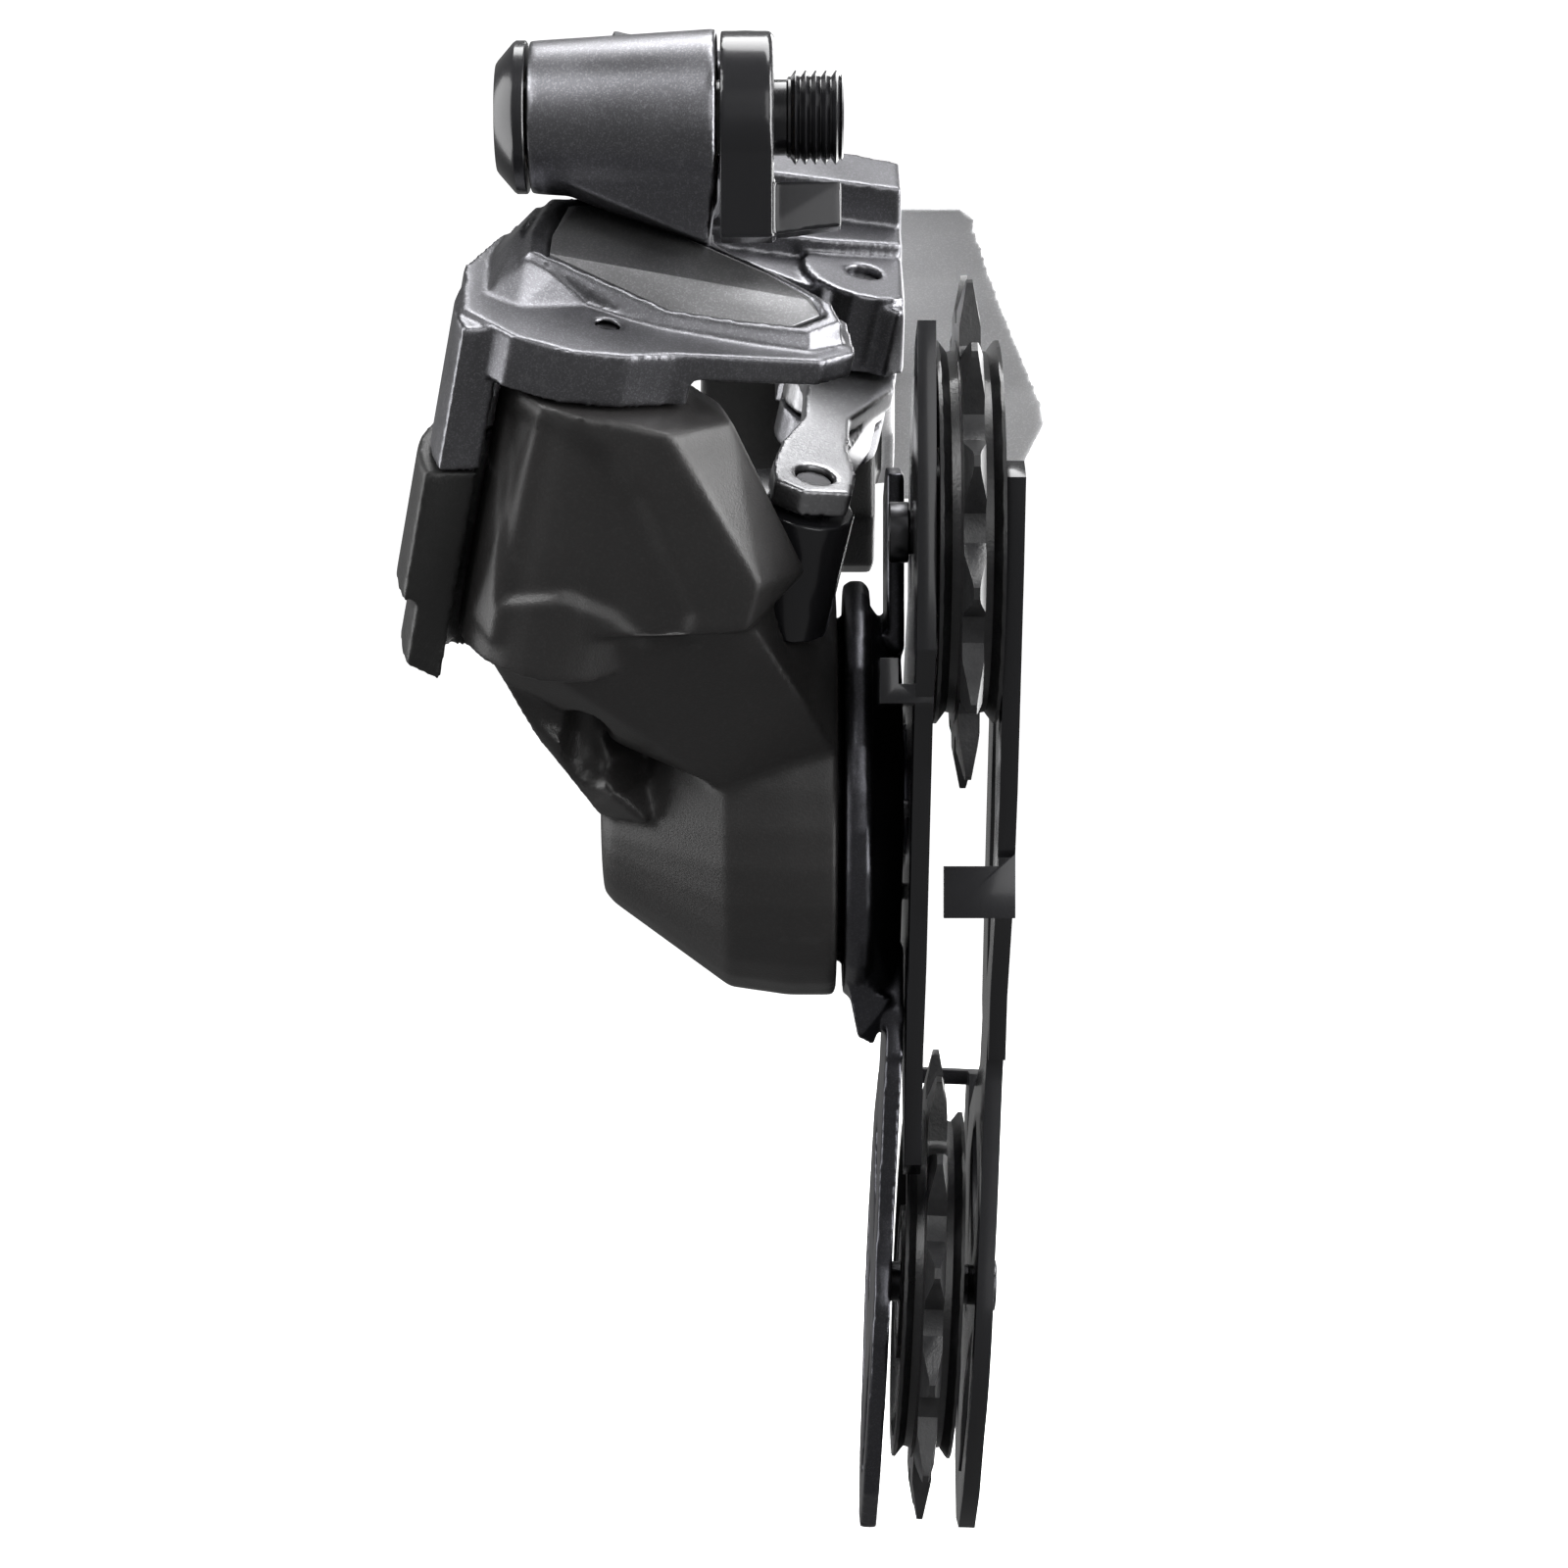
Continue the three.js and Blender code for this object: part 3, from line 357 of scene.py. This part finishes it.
def moulded(piece, grid, passes):
    """Turns a faceted solid into one even skin, and softens its edges as a mould does."""
    apply(piece, "REMESH", mode="VOXEL", voxel_size=grid, use_smooth_shade=True)
    apply(piece, "SMOOTH", factor=0.5, iterations=passes)
    pick(piece)
    bpy.ops.object.shade_smooth()


def placed(piece, body, slot, material, *nodes):
    """Gives a finished piece its material and body, and hides the CAD nodes that it stands for."""
    piece.data.materials.clear()
    piece.data.materials.append(MATERIALS[material])
    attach(piece, body)
    if nodes:
        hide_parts(*nodes)


def dressed(material, *nodes):
    """Gives CAD nodes that stay as they are their material."""
    for name in nodes:
        node = NODES[name]
        if not node.data.materials:
            node.data.materials.append(None)
        for slot in node.material_slots:
            slot.material = MATERIALS[material]


# ---------- materials ----------
MATERIALS = {}


def new_group(name, inputs, outputs):
    """An empty shader node group with these sockets, and its input and output nodes."""
    group = bpy.data.node_groups.new(name, "ShaderNodeTree")
    for label, kind, default in inputs:
        socket = group.interface.new_socket(name=label, in_out="INPUT", socket_type=kind)
        if default is not None:
            socket.default_value = default
    for label, kind in outputs:
        group.interface.new_socket(name=label, in_out="OUTPUT", socket_type=kind)
    return group, group.nodes.new("NodeGroupInput"), group.nodes.new("NodeGroupOutput")


def add(tree, kind, links=(), **values):
    """Adds a node, sets its fields and sockets, and links its inputs."""
    node = tree.nodes.new(kind)
    for key, value in values.items():
        setattr(node, key, value)
    for key, source in links:
        if hasattr(source, "node"):
            tree.links.new(source, node.inputs[key])
        else:
            node.inputs[key].default_value = source
    return node


def grain_group():
    """Fine grain and sparkle, and slow variation, on object coordinates."""
    group, start, end = new_group(
        "surface_grain",
        [
            ("Color", "NodeSocketColor", (0.1, 0.1, 0.1, 1)), ("Roughness", "NodeSocketFloat", 0.4),
            ("Grain Size", "NodeSocketFloat", 0.00015), ("Sparkle", "NodeSocketFloat", 0.3),
            ("Variation", "NodeSocketFloat", 0.1),
        ],
        [("Color", "NodeSocketColor"), ("Roughness", "NodeSocketFloat"), ("Height", "NodeSocketFloat")],
    )
    place = add(group, "ShaderNodeTexCoord").outputs["Object"]
    per_grain = add(group, "ShaderNodeMath", [(0, 1.0), (1, start.outputs["Grain Size"])], operation="DIVIDE")
    scale = per_grain.outputs[0]
    fine = add(
        group, "ShaderNodeTexNoise",
        [("Vector", place), ("Scale", scale), ("Detail", 2.0), ("Roughness", 0.6)],
    )
    flakes = add(group, "ShaderNodeTexVoronoi", [("Vector", place), ("Scale", scale)])
    slow = add(
        group, "ShaderNodeTexNoise",
        [("Vector", place), ("Scale", 90.0), ("Detail", 3.0), ("Roughness", 0.55)],
    )
    spark = add(
        group, "ShaderNodeMapRange",
        [
            ("Value", flakes.outputs["Color"]),
            ("From Min", 0.55), ("From Max", 1.0), ("To Min", 0.0), ("To Max", 1.0),
        ],
    )
    gain = add(
        group, "ShaderNodeMath", [(0, spark.outputs[0]), (1, start.outputs["Sparkle"])], operation="MULTIPLY",
    )
    lift = add(
        group, "ShaderNodeMapRange",
        [
            ("Value", slow.outputs["Fac"]),
            ("From Min", 0.3), ("From Max", 0.7), ("To Min", -1.0), ("To Max", 1.0),
        ],
    )
    drift = add(
        group, "ShaderNodeMath", [(0, lift.outputs[0]), (1, start.outputs["Variation"])],
        operation="MULTIPLY",
    )
    light = add(group, "ShaderNodeMath", [(0, gain.outputs[0]), (1, drift.outputs[0])], operation="ADD")
    factor = add(group, "ShaderNodeMath", [(0, light.outputs[0]), (1, 1.0)], operation="ADD")
    tint = add(
        group, "ShaderNodeVectorMath", [(0, start.outputs["Color"]), ("Scale", factor.outputs[0])],
        operation="SCALE",
    )
    rough = add(
        group, "ShaderNodeMath", [(0, start.outputs["Roughness"]), (1, drift.outputs[0])], operation="ADD",
    )
    group.links.new(tint.outputs[0], end.inputs["Color"])
    group.links.new(rough.outputs[0], end.inputs["Roughness"])
    group.links.new(fine.outputs["Fac"], end.inputs["Height"])
    return group


def wear_group():
    """Lightens the sharp outer edges a little, unevenly, where a surface is handled."""
    group, start, end = new_group(
        "edge_wear",
        [
            ("Color", "NodeSocketColor", (0.1, 0.1, 0.1, 1)), ("Roughness", "NodeSocketFloat", 0.4),
            ("Worn Color", "NodeSocketColor", (0.4, 0.4, 0.4, 1)), ("Amount", "NodeSocketFloat", 0.4),
        ],
        [("Color", "NodeSocketColor"), ("Roughness", "NodeSocketFloat")],
    )
    edge = add(
        group, "ShaderNodeMapRange",
        [
            ("Value", add(group, "ShaderNodeNewGeometry").outputs["Pointiness"]),
            ("From Min", 0.515), ("From Max", 0.6), ("To Min", 0.0), ("To Max", 1.0),
        ],
    )
    patches = add(
        group, "ShaderNodeTexNoise",
        [("Vector", add(group, "ShaderNodeTexCoord").outputs["Object"]), ("Scale", 700.0), ("Detail", 4.0)],
    )
    uneven = add(
        group, "ShaderNodeMapRange",
        [
            ("Value", patches.outputs["Fac"]),
            ("From Min", 0.35), ("From Max", 0.65), ("To Min", 0.25), ("To Max", 1.0),
        ],
    )
    mask = add(group, "ShaderNodeMath", [(0, edge.outputs[0]), (1, uneven.outputs[0])], operation="MULTIPLY")
    amount = add(
        group, "ShaderNodeMath", [(0, mask.outputs[0]), (1, start.outputs["Amount"])], operation="MULTIPLY",
    )
    colour = add(
        group, "ShaderNodeMix",
        [(0, amount.outputs[0]), (6, start.outputs["Color"]), (7, start.outputs["Worn Color"])],
        data_type="RGBA",
    )
    polish = add(group, "ShaderNodeMath", [(0, amount.outputs[0]), (1, -0.12)], operation="MULTIPLY")
    rough = add(
        group, "ShaderNodeMath", [(0, start.outputs["Roughness"]), (1, polish.outputs[0])], operation="ADD",
    )
    group.links.new(colour.outputs[2], end.inputs["Color"])
    group.links.new(rough.outputs[0], end.inputs["Roughness"])
    return group


def finish(
    name, colour, metallic, roughness, grain=0.00015, sparkle=0.2, variation=0.06, bump=0.05,
    wear=0.0, worn=(0.35, 0.35, 0.36), coat=0.0, coat_roughness=0.1,
):
    """A material for one of the finishes, from the shared grain and wear groups."""
    material = bpy.data.materials.new(name)
    material.use_nodes = True
    tree = material.node_tree
    shader = tree.nodes["Principled BSDF"]
    skin = add(tree, "ShaderNodeGroup", node_tree=bpy.data.node_groups["surface_grain"])
    for key, value in {
        "Color": (*colour, 1), "Roughness": roughness, "Grain Size": grain, "Sparkle": sparkle,
        "Variation": variation,
    }.items():
        skin.inputs[key].default_value = value
    edges = add(tree, "ShaderNodeGroup", node_tree=bpy.data.node_groups["edge_wear"])
    edges.inputs["Worn Color"].default_value = (*worn, 1)
    edges.inputs["Amount"].default_value = wear
    tree.links.new(skin.outputs["Color"], edges.inputs["Color"])
    tree.links.new(skin.outputs["Roughness"], edges.inputs["Roughness"])
    relief = add(
        tree, "ShaderNodeBump", [("Height", skin.outputs["Height"]), ("Strength", bump), ("Distance", grain)],
    )
    tree.links.new(edges.outputs["Color"], shader.inputs["Base Color"])
    tree.links.new(edges.outputs["Roughness"], shader.inputs["Roughness"])
    tree.links.new(relief.outputs["Normal"], shader.inputs["Normal"])
    shader.inputs["Metallic"].default_value = metallic
    shader.inputs["Coat Weight"].default_value = coat
    shader.inputs["Coat Roughness"].default_value = coat_roughness
    MATERIALS[name] = material


class FINISHES_OT_derailleur(bpy.types.Operator):
    """Builds the shared node groups and a material for each finish"""

    bl_idname = "derailleur.finishes"
    bl_label = "Finishes"

    def execute(self, context):
        colours = context.scene.derailleur_colours
        grain_group()
        wear_group()
        finish(
            "graphite_alloy", colours.graphite, 1.0, 0.36, sparkle=0.7, variation=0.05, bump=0.12, wear=0.2,
        )
        # A pale colour painted on the drive unit and its battery door to stand in for the rim light from
        # behind: a painted highlight, not the alloy's own tone.
        finish("graphite_pale", (0.6, 0.6, 0.61), 0.35, 0.4, sparkle=0.3, variation=0.03, bump=0.08)
        finish("black_alloy", (0.07, 0.07, 0.078), 1.0, 0.33, sparkle=0.5, bump=0.08)
        finish("silver_alloy", colours.silver, 1.0, 0.38, grain=0.0003, sparkle=0.25, bump=0.1, wear=0.15)
        finish("inlay", (0.2, 0.2, 0.205), 1.0, 0.45, sparkle=0.5, bump=0.06, wear=0.1)
        finish(
            "black_steel", (0.016, 0.016, 0.018), 0.35, 0.24, sparkle=0.1, variation=0.025, bump=0.03,
            coat=0.3,
        )
        finish("dark_steel", (0.09, 0.09, 0.095), 1.0, 0.3, sparkle=0.1)
        finish("bright_steel", (0.5, 0.5, 0.51), 1.0, 0.22, sparkle=0.05, variation=0.03)
        finish("bronze", (0.36, 0.22, 0.1), 1.0, 0.4)
        finish(
            "housing_polymer", colours.polymer, 0.0, 0.46, grain=0.00025, sparkle=0.3, bump=0.16, wear=0.1,
            worn=(0.09, 0.09, 0.09),
        )
        finish(
            "black_polymer", (0.012, 0.012, 0.012), 0.0, 0.42, grain=0.0003, bump=0.2, wear=0.1,
            worn=(0.08, 0.08, 0.08),
        )
        finish(
            "wheel_polymer", (0.011, 0.011, 0.012), 0.0, 0.34, grain=0.0004, bump=0.1, wear=0.12,
            worn=(0.08, 0.08, 0.08),
        )
        finish("battery_wrap", (0.02, 0.02, 0.022), 0.0, 0.3)
        finish("board_green", (0.02, 0.09, 0.04), 0.0, 0.4)
        finish("lens", (0.75, 0.78, 0.8), 0.0, 0.12, bump=0.0)
        return {"FINISHED"}


# ---------- pieces ----------
def machined(node, body, slot, material, width):
    """A piece with a CAD node's shape and broken edges, standing for that node."""
    piece = copied(node, node + "_finished")
    rounded(piece, width)
    placed(piece, body, slot, material, node)
    return piece


def cast(node, body, slot, material, grid, passes):
    """A piece with a CAD node's shape and a mould's soft edges, standing for that node."""
    piece = copied(node, node + "_finished")
    moulded(piece, grid, passes)
    placed(piece, body, slot, material, node)
    return piece


class MOUNT_OT_derailleur(bpy.types.Operator):
    """Models the mounting bolt, its cap and the hanger stop plate"""

    bl_idname = "derailleur.mount"
    bl_label = "Hanger Mount"

    def execute(self, context):
        size = context.scene.derailleur_sizes
        crests = []
        for turn in range(THREAD_TURNS):
            start = THREAD_START + turn * THREAD_STEP
            crests += [
                (start, THREAD_ROOT), (start + 0.46, THREAD_CREST), (start + 0.56, THREAD_CREST),
                (start + 1.0, THREAD_ROOT),
            ]
        bolt = turned("mounting_bolt_finished", 0, 0, [
            (-28.6, 0), (-28.6, 5.0), (-28.4, 5.2), (-26.8, 5.2), (-26.8, 4.0), (1.3, 4.0),
            (1.5, THREAD_ROOT), *crests, (7.2, 4.6), (7.4, THREAD_ROOT), (7.4, 0),
        ])
        socket = turned("socket_tool", 0, 0, [(-30, 0), (-30, 2.9), (-24.5, 2.9), (-24.5, 0)], 6)
        carved(bolt, socket)
        smooth(bolt, 30)
        placed(bolt, "hanger_mount", "gloss_black_steel", "black_steel", "mounting_bolt")
        cap = turned("axle_cap_finished", 0, 0, [
            (-29.6, 5.5), (-29.6, 5.7), (-29.4, 6.0), (-27.75, 7.9), (-27.45, 8.1), (-26.45, 8.1),
            (-26.3, 7.95), (-26.3, 5.5),
        ])
        smooth(cap, 25)
        placed(cap, "hanger_mount", "gloss_black_steel", "black_steel", "axle_cap")
        plate = copied("hanger_stop_plate", "hanger_stop_plate_finished")
        ring = turned("ring", 0, 0, [(-5.7, 5.3), (-5.7, 9.1), (-0.5, 9.1), (0, 8.6), (0, 5.3)], 96)
        joined(plate, ring)
        moulded(plate, size.mould_grid * 0.5, 3)
        placed(plate, "hanger_mount", "gloss_black_steel", "black_steel", "hanger_stop_plate")
        return {"FINISHED"}


class BRACKET_OT_derailleur(bpy.types.Operator):
    """Models the bracket body and its pins and screw"""

    bl_idname = "derailleur.bracket"
    bl_label = "Bracket"

    def execute(self, context):
        size = context.scene.derailleur_sizes
        body = copied("bracket_body", "bracket_body_finished")
        trim = turned("trim", 0, 0, [(-27, 7.98), (-6, 9.36), (-6, 16), (-27, 16)])
        upper_front = [(x, y, z) for x in (-28, -5) for y, z in ((-20, -4), (-20, 20), (6, 20), (6, -4))]
        carved(trim, hulled("upper_front", upper_front), "INTERSECT")
        carved(body, trim)
        outer_end, inner_end = TUBE_ENDS
        tube = turned("tube", 0, 0, [(outer_end[0], 5.6), outer_end, inner_end, (inner_end[0], 5.6)], 96)
        joined(body, tube, hulled("neck", NECK))
        moulded(body, size.mould_grid * 0.75, size.rounding)
        placed(body, "bracket", "satin_grey_alloy", "graphite_alloy", "bracket_body")
        dressed("bronze", "axle_bush_outer", "axle_bush_inner")
        dressed("dark_steel", "height_adjust_screw", "outer_link_rear_pin", "inner_link_rear_pin")
        return {"FINISHED"}


class DRIVE_OT_derailleur(bpy.types.Operator):
    """Models the drive unit, its lid, door, button and lens, and dresses what is inside"""

    bl_idname = "derailleur.drive"
    bl_label = "Drive Unit"

    def execute(self, context):
        size = context.scene.derailleur_sizes
        shell = cast(
            "drive_unit_shell", "bracket", "pale_satin_alloy", "graphite_pale", size.mould_grid,
            size.rounding,
        )
        shell.data.materials.append(MATERIALS["black_polymer"])
        # Faces inboard of the plane get the pale painted rim light, and those outboard stay black.
        for face in shell.data.polygons:
            face.material_index = 1 if face.center.x < RIM_LIGHT_PAINTED_FROM else 0
        machined("drive_unit_lid", "bracket", "black_polymer", "black_polymer", size.edge)
        # The battery door gets the same pale painted rim light.
        machined("battery_door", "battery_cover", "pale_satin_alloy", "graphite_pale", size.edge)
        machined("mode_button", "button", "black_polymer", "black_polymer", size.fine_edge)
        dressed("battery_wrap", "battery_pack")
        dressed("dark_steel", "drive_motor", "gear_case", "door_hinge_pin")
        dressed("board_green", "control_board")
        dressed("lens", "status_lens")
        return {"FINISHED"}


class OUTERLINK_OT_derailleur(bpy.types.Operator):
    """Models the outer link, its inlay and the guard under it"""

    bl_idname = "derailleur.outer_link"
    bl_label = "Outer Link"

    def execute(self, context):
        size = context.scene.derailleur_sizes
        link = copied("outer_link", "outer_link_finished")
        above = [(u, v, height) for u in (-30, 40) for v in (-20, 50) for height in (0.02, 9)]
        carved(link, hulled("above", above, PIN_FRAME))
        island = hulled("island", [*ISLAND_RIM, *ISLAND_FOOT], PIN_FRAME)
        pocket = shrunk(ISLAND_RIM, 0.9, -0.55) + shrunk(ISLAND_RIM, 0.9, 4)
        carved(island, hulled("pocket", pocket, PIN_FRAME))
        shoulder = hulled("shoulder", SHOULDER, PIN_FRAME)
        lip = turn_to(turned("lip", 0, 0, [(-0.5, 1.2), (-0.5, 2.5), (0, 2.5), (0, 1.2)], 32), PIN_AXIS)
        joined(link, island, shoulder, lip)
        moulded(link, size.mould_grid * 0.75, size.rounding)
        placed(link, "outer_arm_link", "satin_grey_alloy", "graphite_alloy", "outer_link")
        inlay = hulled(
            "outer_link_inlay_finished",
            shrunk(ISLAND_RIM, 0.865, -0.5) + shrunk(ISLAND_RIM, 0.865, -0.02) + INLAY_RIDGE, PIN_FRAME,
        )
        edit(inlay)
        bpy.ops.mesh.select_all(action="SELECT")
        bpy.ops.mesh.dissolve_limited(angle_limit=math.radians(2))
        leave_edit()
        rounded(inlay, size.fine_edge * 0.6, 2, 8)
        placed(inlay, "outer_arm_link", "inlay_grey", "inlay", "outer_link_inlay")
        dressed("bronze", "outer_link_bush")
        cast(
            "link_guard", "outer_arm_link", "black_polymer", "black_polymer", size.mould_grid,
            size.rounding,
        )
        return {"FINISHED"}


class INNERLINK_OT_derailleur(bpy.types.Operator):
    """Models the inner link"""

    bl_idname = "derailleur.inner_link"
    bl_label = "Inner Link"

    def execute(self, context):
        size = context.scene.derailleur_sizes
        cast(
            "inner_link", "inner_arm_link", "forged_grey_alloy", "silver_alloy", size.mould_grid * 0.7,
            size.rounding,
        )
        dressed("bronze", "inner_link_bush")
        return {"FINISHED"}


class KNUCKLE_OT_derailleur(bpy.types.Operator):
    """Models the knuckle housing, its boss and pins, and dresses its springs"""

    bl_idname = "derailleur.knuckle"
    bl_label = "Knuckle"

    def execute(self, context):
        size = context.scene.derailleur_sizes
        housing = copied("knuckle_housing", "knuckle_housing_finished")
        apply(housing, "REMESH", mode="VOXEL", voxel_size=size.mould_grid, use_smooth_shade=True)
        apply(housing, "SMOOTH", factor=0.5, iterations=5)
        pressed(housing, FRONT_PANEL, 1.3, 2.2)
        pressed(housing, LOWER_LEDGE, 0.8, 1.6)
        apply(housing, "SMOOTH", factor=0.5, iterations=size.rounding)
        pick(housing)
        bpy.ops.object.shade_smooth()
        placed(housing, "knuckle", "warm_black_polymer", "housing_polymer", "knuckle_housing")
        machined("inner_pin_boss", "knuckle", "gloss_black_steel", "black_steel", size.edge)
        dressed("dark_steel", "outer_link_front_pin", "inner_link_front_pin", "friction_drum")
        dressed("bright_steel", "cage_spring_large", "cage_spring_small")
        dressed("bronze", "cage_axle_bush")
        return {"FINISHED"}


class CAGE_OT_derailleur(bpy.types.Operator):
    """Models the cage: outer arm, guide plate, inner plate, axle, bolts and dust caps"""

    bl_idname = "derailleur.cage"
    bl_label = "Cage"

    def execute(self, context):
        size = context.scene.derailleur_sizes
        cast("cage_outer_arm", "cage", "satin_black_alloy", "black_alloy", size.mould_grid * 0.85, 3)
        machined("chain_guide_plate", "cage", "gloss_black_steel", "black_steel", size.edge)
        machined("cage_inner_plate", "cage", "gloss_black_steel", "black_steel", size.edge)
        machined("cage_axle", "cage", "dark_steel", "dark_steel", size.fine_edge)
        for node in ("guide_wheel_bolt", "tension_wheel_bolt"):
            machined(node, "cage", "dark_steel", "dark_steel", size.fine_edge)
        dressed("dark_steel", "guide_plate_rivet_1", "guide_plate_rivet_2", "guide_plate_rivet_3")
        dressed(
            "bright_steel", "guide_dust_cap_outer", "guide_dust_cap_inner", "tension_dust_cap_outer",
            "tension_dust_cap_inner",
        )
        return {"FINISHED"}


class WHEELS_OT_derailleur(bpy.types.Operator):
    """Models the guide and tension wheels"""

    bl_idname = "derailleur.wheels"
    bl_label = "Wheels"

    def execute(self, context):
        size = context.scene.derailleur_sizes
        guide = Matrix.Translation(Vector(GUIDE_CENTRE) * MM)
        lean = Matrix.Rotation(math.radians(TENSION_LEAN), 4, "Y")
        tension = Matrix.Translation(Vector(TENSION_CENTRE) * MM) @ lean
        for node, body, frame_matrix in (
            ("guide_wheel", "guide_pulley", guide), ("tension_wheel", "tension_pulley", tension),
        ):
            wheel = copied(node, node + "_finished")
            taper = turn_to(turned("taper", 0, 0, [
                (-4, 0), (-4, 22.2), (-1.5, 22.6), (-1.25, 24.2), (-0.3, 28.9), (0.3, 28.9), (1.25, 24.2),
                (1.5, 22.6), (4, 22.2), (4, 0),
            ], 96), frame_matrix)
            carved(wheel, taper, "INTERSECT")
            for side in (-1, 1):
                groove = turn_to(turned("groove", 0, 0, [
                    (side * 1.3, 20.1), (side * 2.2, 19.9), (side * 3.3, 21.4), (side * 3.3, 23),
                    (side * 1.3, 23),
                ], 96), frame_matrix)
                carved(wheel, groove)
            rounded(wheel, size.fine_edge, 2, 28)
            placed(wheel, body, "wheel_polymer", "wheel_polymer", node)
        dressed("bright_steel", "guide_bearing", "tension_bearing")
        return {"FINISHED"}


# ---------- stage ----------
def soft_box(name, power, width, height, place):
    """A rectangular area light at this place, turned to the middle of the derailleur."""
    lamp = bpy.data.lights.new(name, "AREA")
    lamp.shape = "RECTANGLE"
    lamp.size = width
    lamp.size_y = height
    lamp.energy = power
    box = bpy.data.objects.new(name, lamp)
    box.location = place
    box.rotation_euler = (Vector(LIGHT_AIM) - Vector(place)).to_track_quat("-Z", "Y").to_euler()
    bpy.context.scene.collection.objects.link(box)


class STAGE_OT_derailleur(bpy.types.Operator):
    """Sets the floor and backdrop, the soft boxes and the camera"""

    bl_idname = "derailleur.stage"
    bl_label = "Stage"

    def execute(self, context):
        studio = context.scene.derailleur_studio
        ground = CAD_BOX[0].z - 0.0005
        pick()
        bpy.ops.mesh.primitive_plane_add(size=6, location=(0, 0, ground))
        floor = context.object
        floor.name = "floor"
        edit(floor)
        bpy.ops.mesh.select_all(action="DESELECT")
        leave_edit()
        for edge in floor.data.edges:
            edge.select = all(floor.data.vertices[v].co.y > 1 for v in edge.vertices)
        edit(floor)
        bpy.ops.mesh.extrude_region_move(TRANSFORM_OT_translate={"value": (0, 0, 4)})
        leave_edit()
        apply(floor, "BEVEL", width=1.2, segments=16, limit_method="ANGLE")
        pick(floor)
        bpy.ops.object.shade_smooth()
        bpy.ops.object.transform_apply(location=True, rotation=True, scale=True)
        paper = bpy.data.materials.new("backdrop_paper")
        paper.use_nodes = True
        shader = paper.node_tree.nodes["Principled BSDF"]
        shader.inputs["Base Color"].default_value = (0.9, 0.9, 0.9, 1)
        shader.inputs["Roughness"].default_value = 0.9
        shader.inputs["Emission Color"].default_value = (1, 1, 1, 1)
        shader.inputs["Emission Strength"].default_value = 0.9
        floor.data.materials.append(paper)
        floor.visible_glossy = False
        floor.visible_diffuse = False
        pick()
        bpy.ops.mesh.primitive_cylinder_add(vertices=96, radius=2.9, depth=8, end_fill_type="NOTHING")
        surround = context.object
        surround.name = "surround"
        surround.data.materials.append(paper)
        surround.visible_glossy = False
        surround.visible_diffuse = False
        surround.visible_shadow = False

        world = bpy.data.worlds.new("studio")
        world.use_nodes = True
        background = world.node_tree.nodes["Background"]
        background.inputs["Color"].default_value = (1, 1, 1, 1)
        background.inputs["Strength"].default_value = 0.22
        context.scene.world = world
        for name, (width, height, place) in SOFT_BOXES.items():
            soft_box(name, getattr(studio, name), width, height, place)

        camera = bpy.data.cameras.new("camera")
        camera.lens = CAMERA_LENS
        camera.sensor_width = 36
        camera.clip_start = 0.01
        camera.clip_end = 50
        eye = bpy.data.objects.new("camera", camera)
        eye.location = CAMERA_PLACE
        eye.rotation_euler = (math.radians(90), 0, 0)
        context.scene.collection.objects.link(eye)
        context.scene.camera = eye
        context.scene.view_settings.view_transform = "Standard"
        return {"FINISHED"}


STEPS = (
    FINISHES_OT_derailleur, MOUNT_OT_derailleur, BRACKET_OT_derailleur, DRIVE_OT_derailleur,
    OUTERLINK_OT_derailleur, INNERLINK_OT_derailleur, KNUCKLE_OT_derailleur, CAGE_OT_derailleur,
    WHEELS_OT_derailleur, STAGE_OT_derailleur,
)
GROUPS = (DerailleurSizes, DerailleurColours, DerailleurStudio)


class VIEW3D_PT_derailleur(bpy.types.Panel):
    bl_label = "Derailleur"
    bl_space_type = "VIEW_3D"
    bl_region_type = "UI"
    bl_category = "Derailleur"

    def draw(self, context):
        layout = self.layout
        scene = context.scene
        for group in (scene.derailleur_sizes, scene.derailleur_colours, scene.derailleur_studio):
            for name in group.__annotations__:
                layout.prop(group, name)
        for step in STEPS:
            layout.operator(step.bl_idname)


def register():
    for item in (*GROUPS, *STEPS, VIEW3D_PT_derailleur):
        bpy.utils.register_class(item)
    bpy.types.Scene.derailleur_sizes = PointerProperty(type=DerailleurSizes)
    bpy.types.Scene.derailleur_colours = PointerProperty(type=DerailleurColours)
    bpy.types.Scene.derailleur_studio = PointerProperty(type=DerailleurStudio)


def unregister():
    del bpy.types.Scene.derailleur_sizes
    del bpy.types.Scene.derailleur_colours
    del bpy.types.Scene.derailleur_studio
    for item in reversed((*GROUPS, *STEPS, VIEW3D_PT_derailleur)):
        bpy.utils.unregister_class(item)


def main():
    register()
    bpy.ops.derailleur.finishes()
    bpy.ops.derailleur.mount()
    bpy.ops.derailleur.bracket()
    bpy.ops.derailleur.drive()
    bpy.ops.derailleur.outer_link()
    bpy.ops.derailleur.inner_link()
    bpy.ops.derailleur.knuckle()
    bpy.ops.derailleur.cage()
    bpy.ops.derailleur.wheels()
    bpy.ops.derailleur.stage()
    pick()


if __name__ == "__main__":
    main()
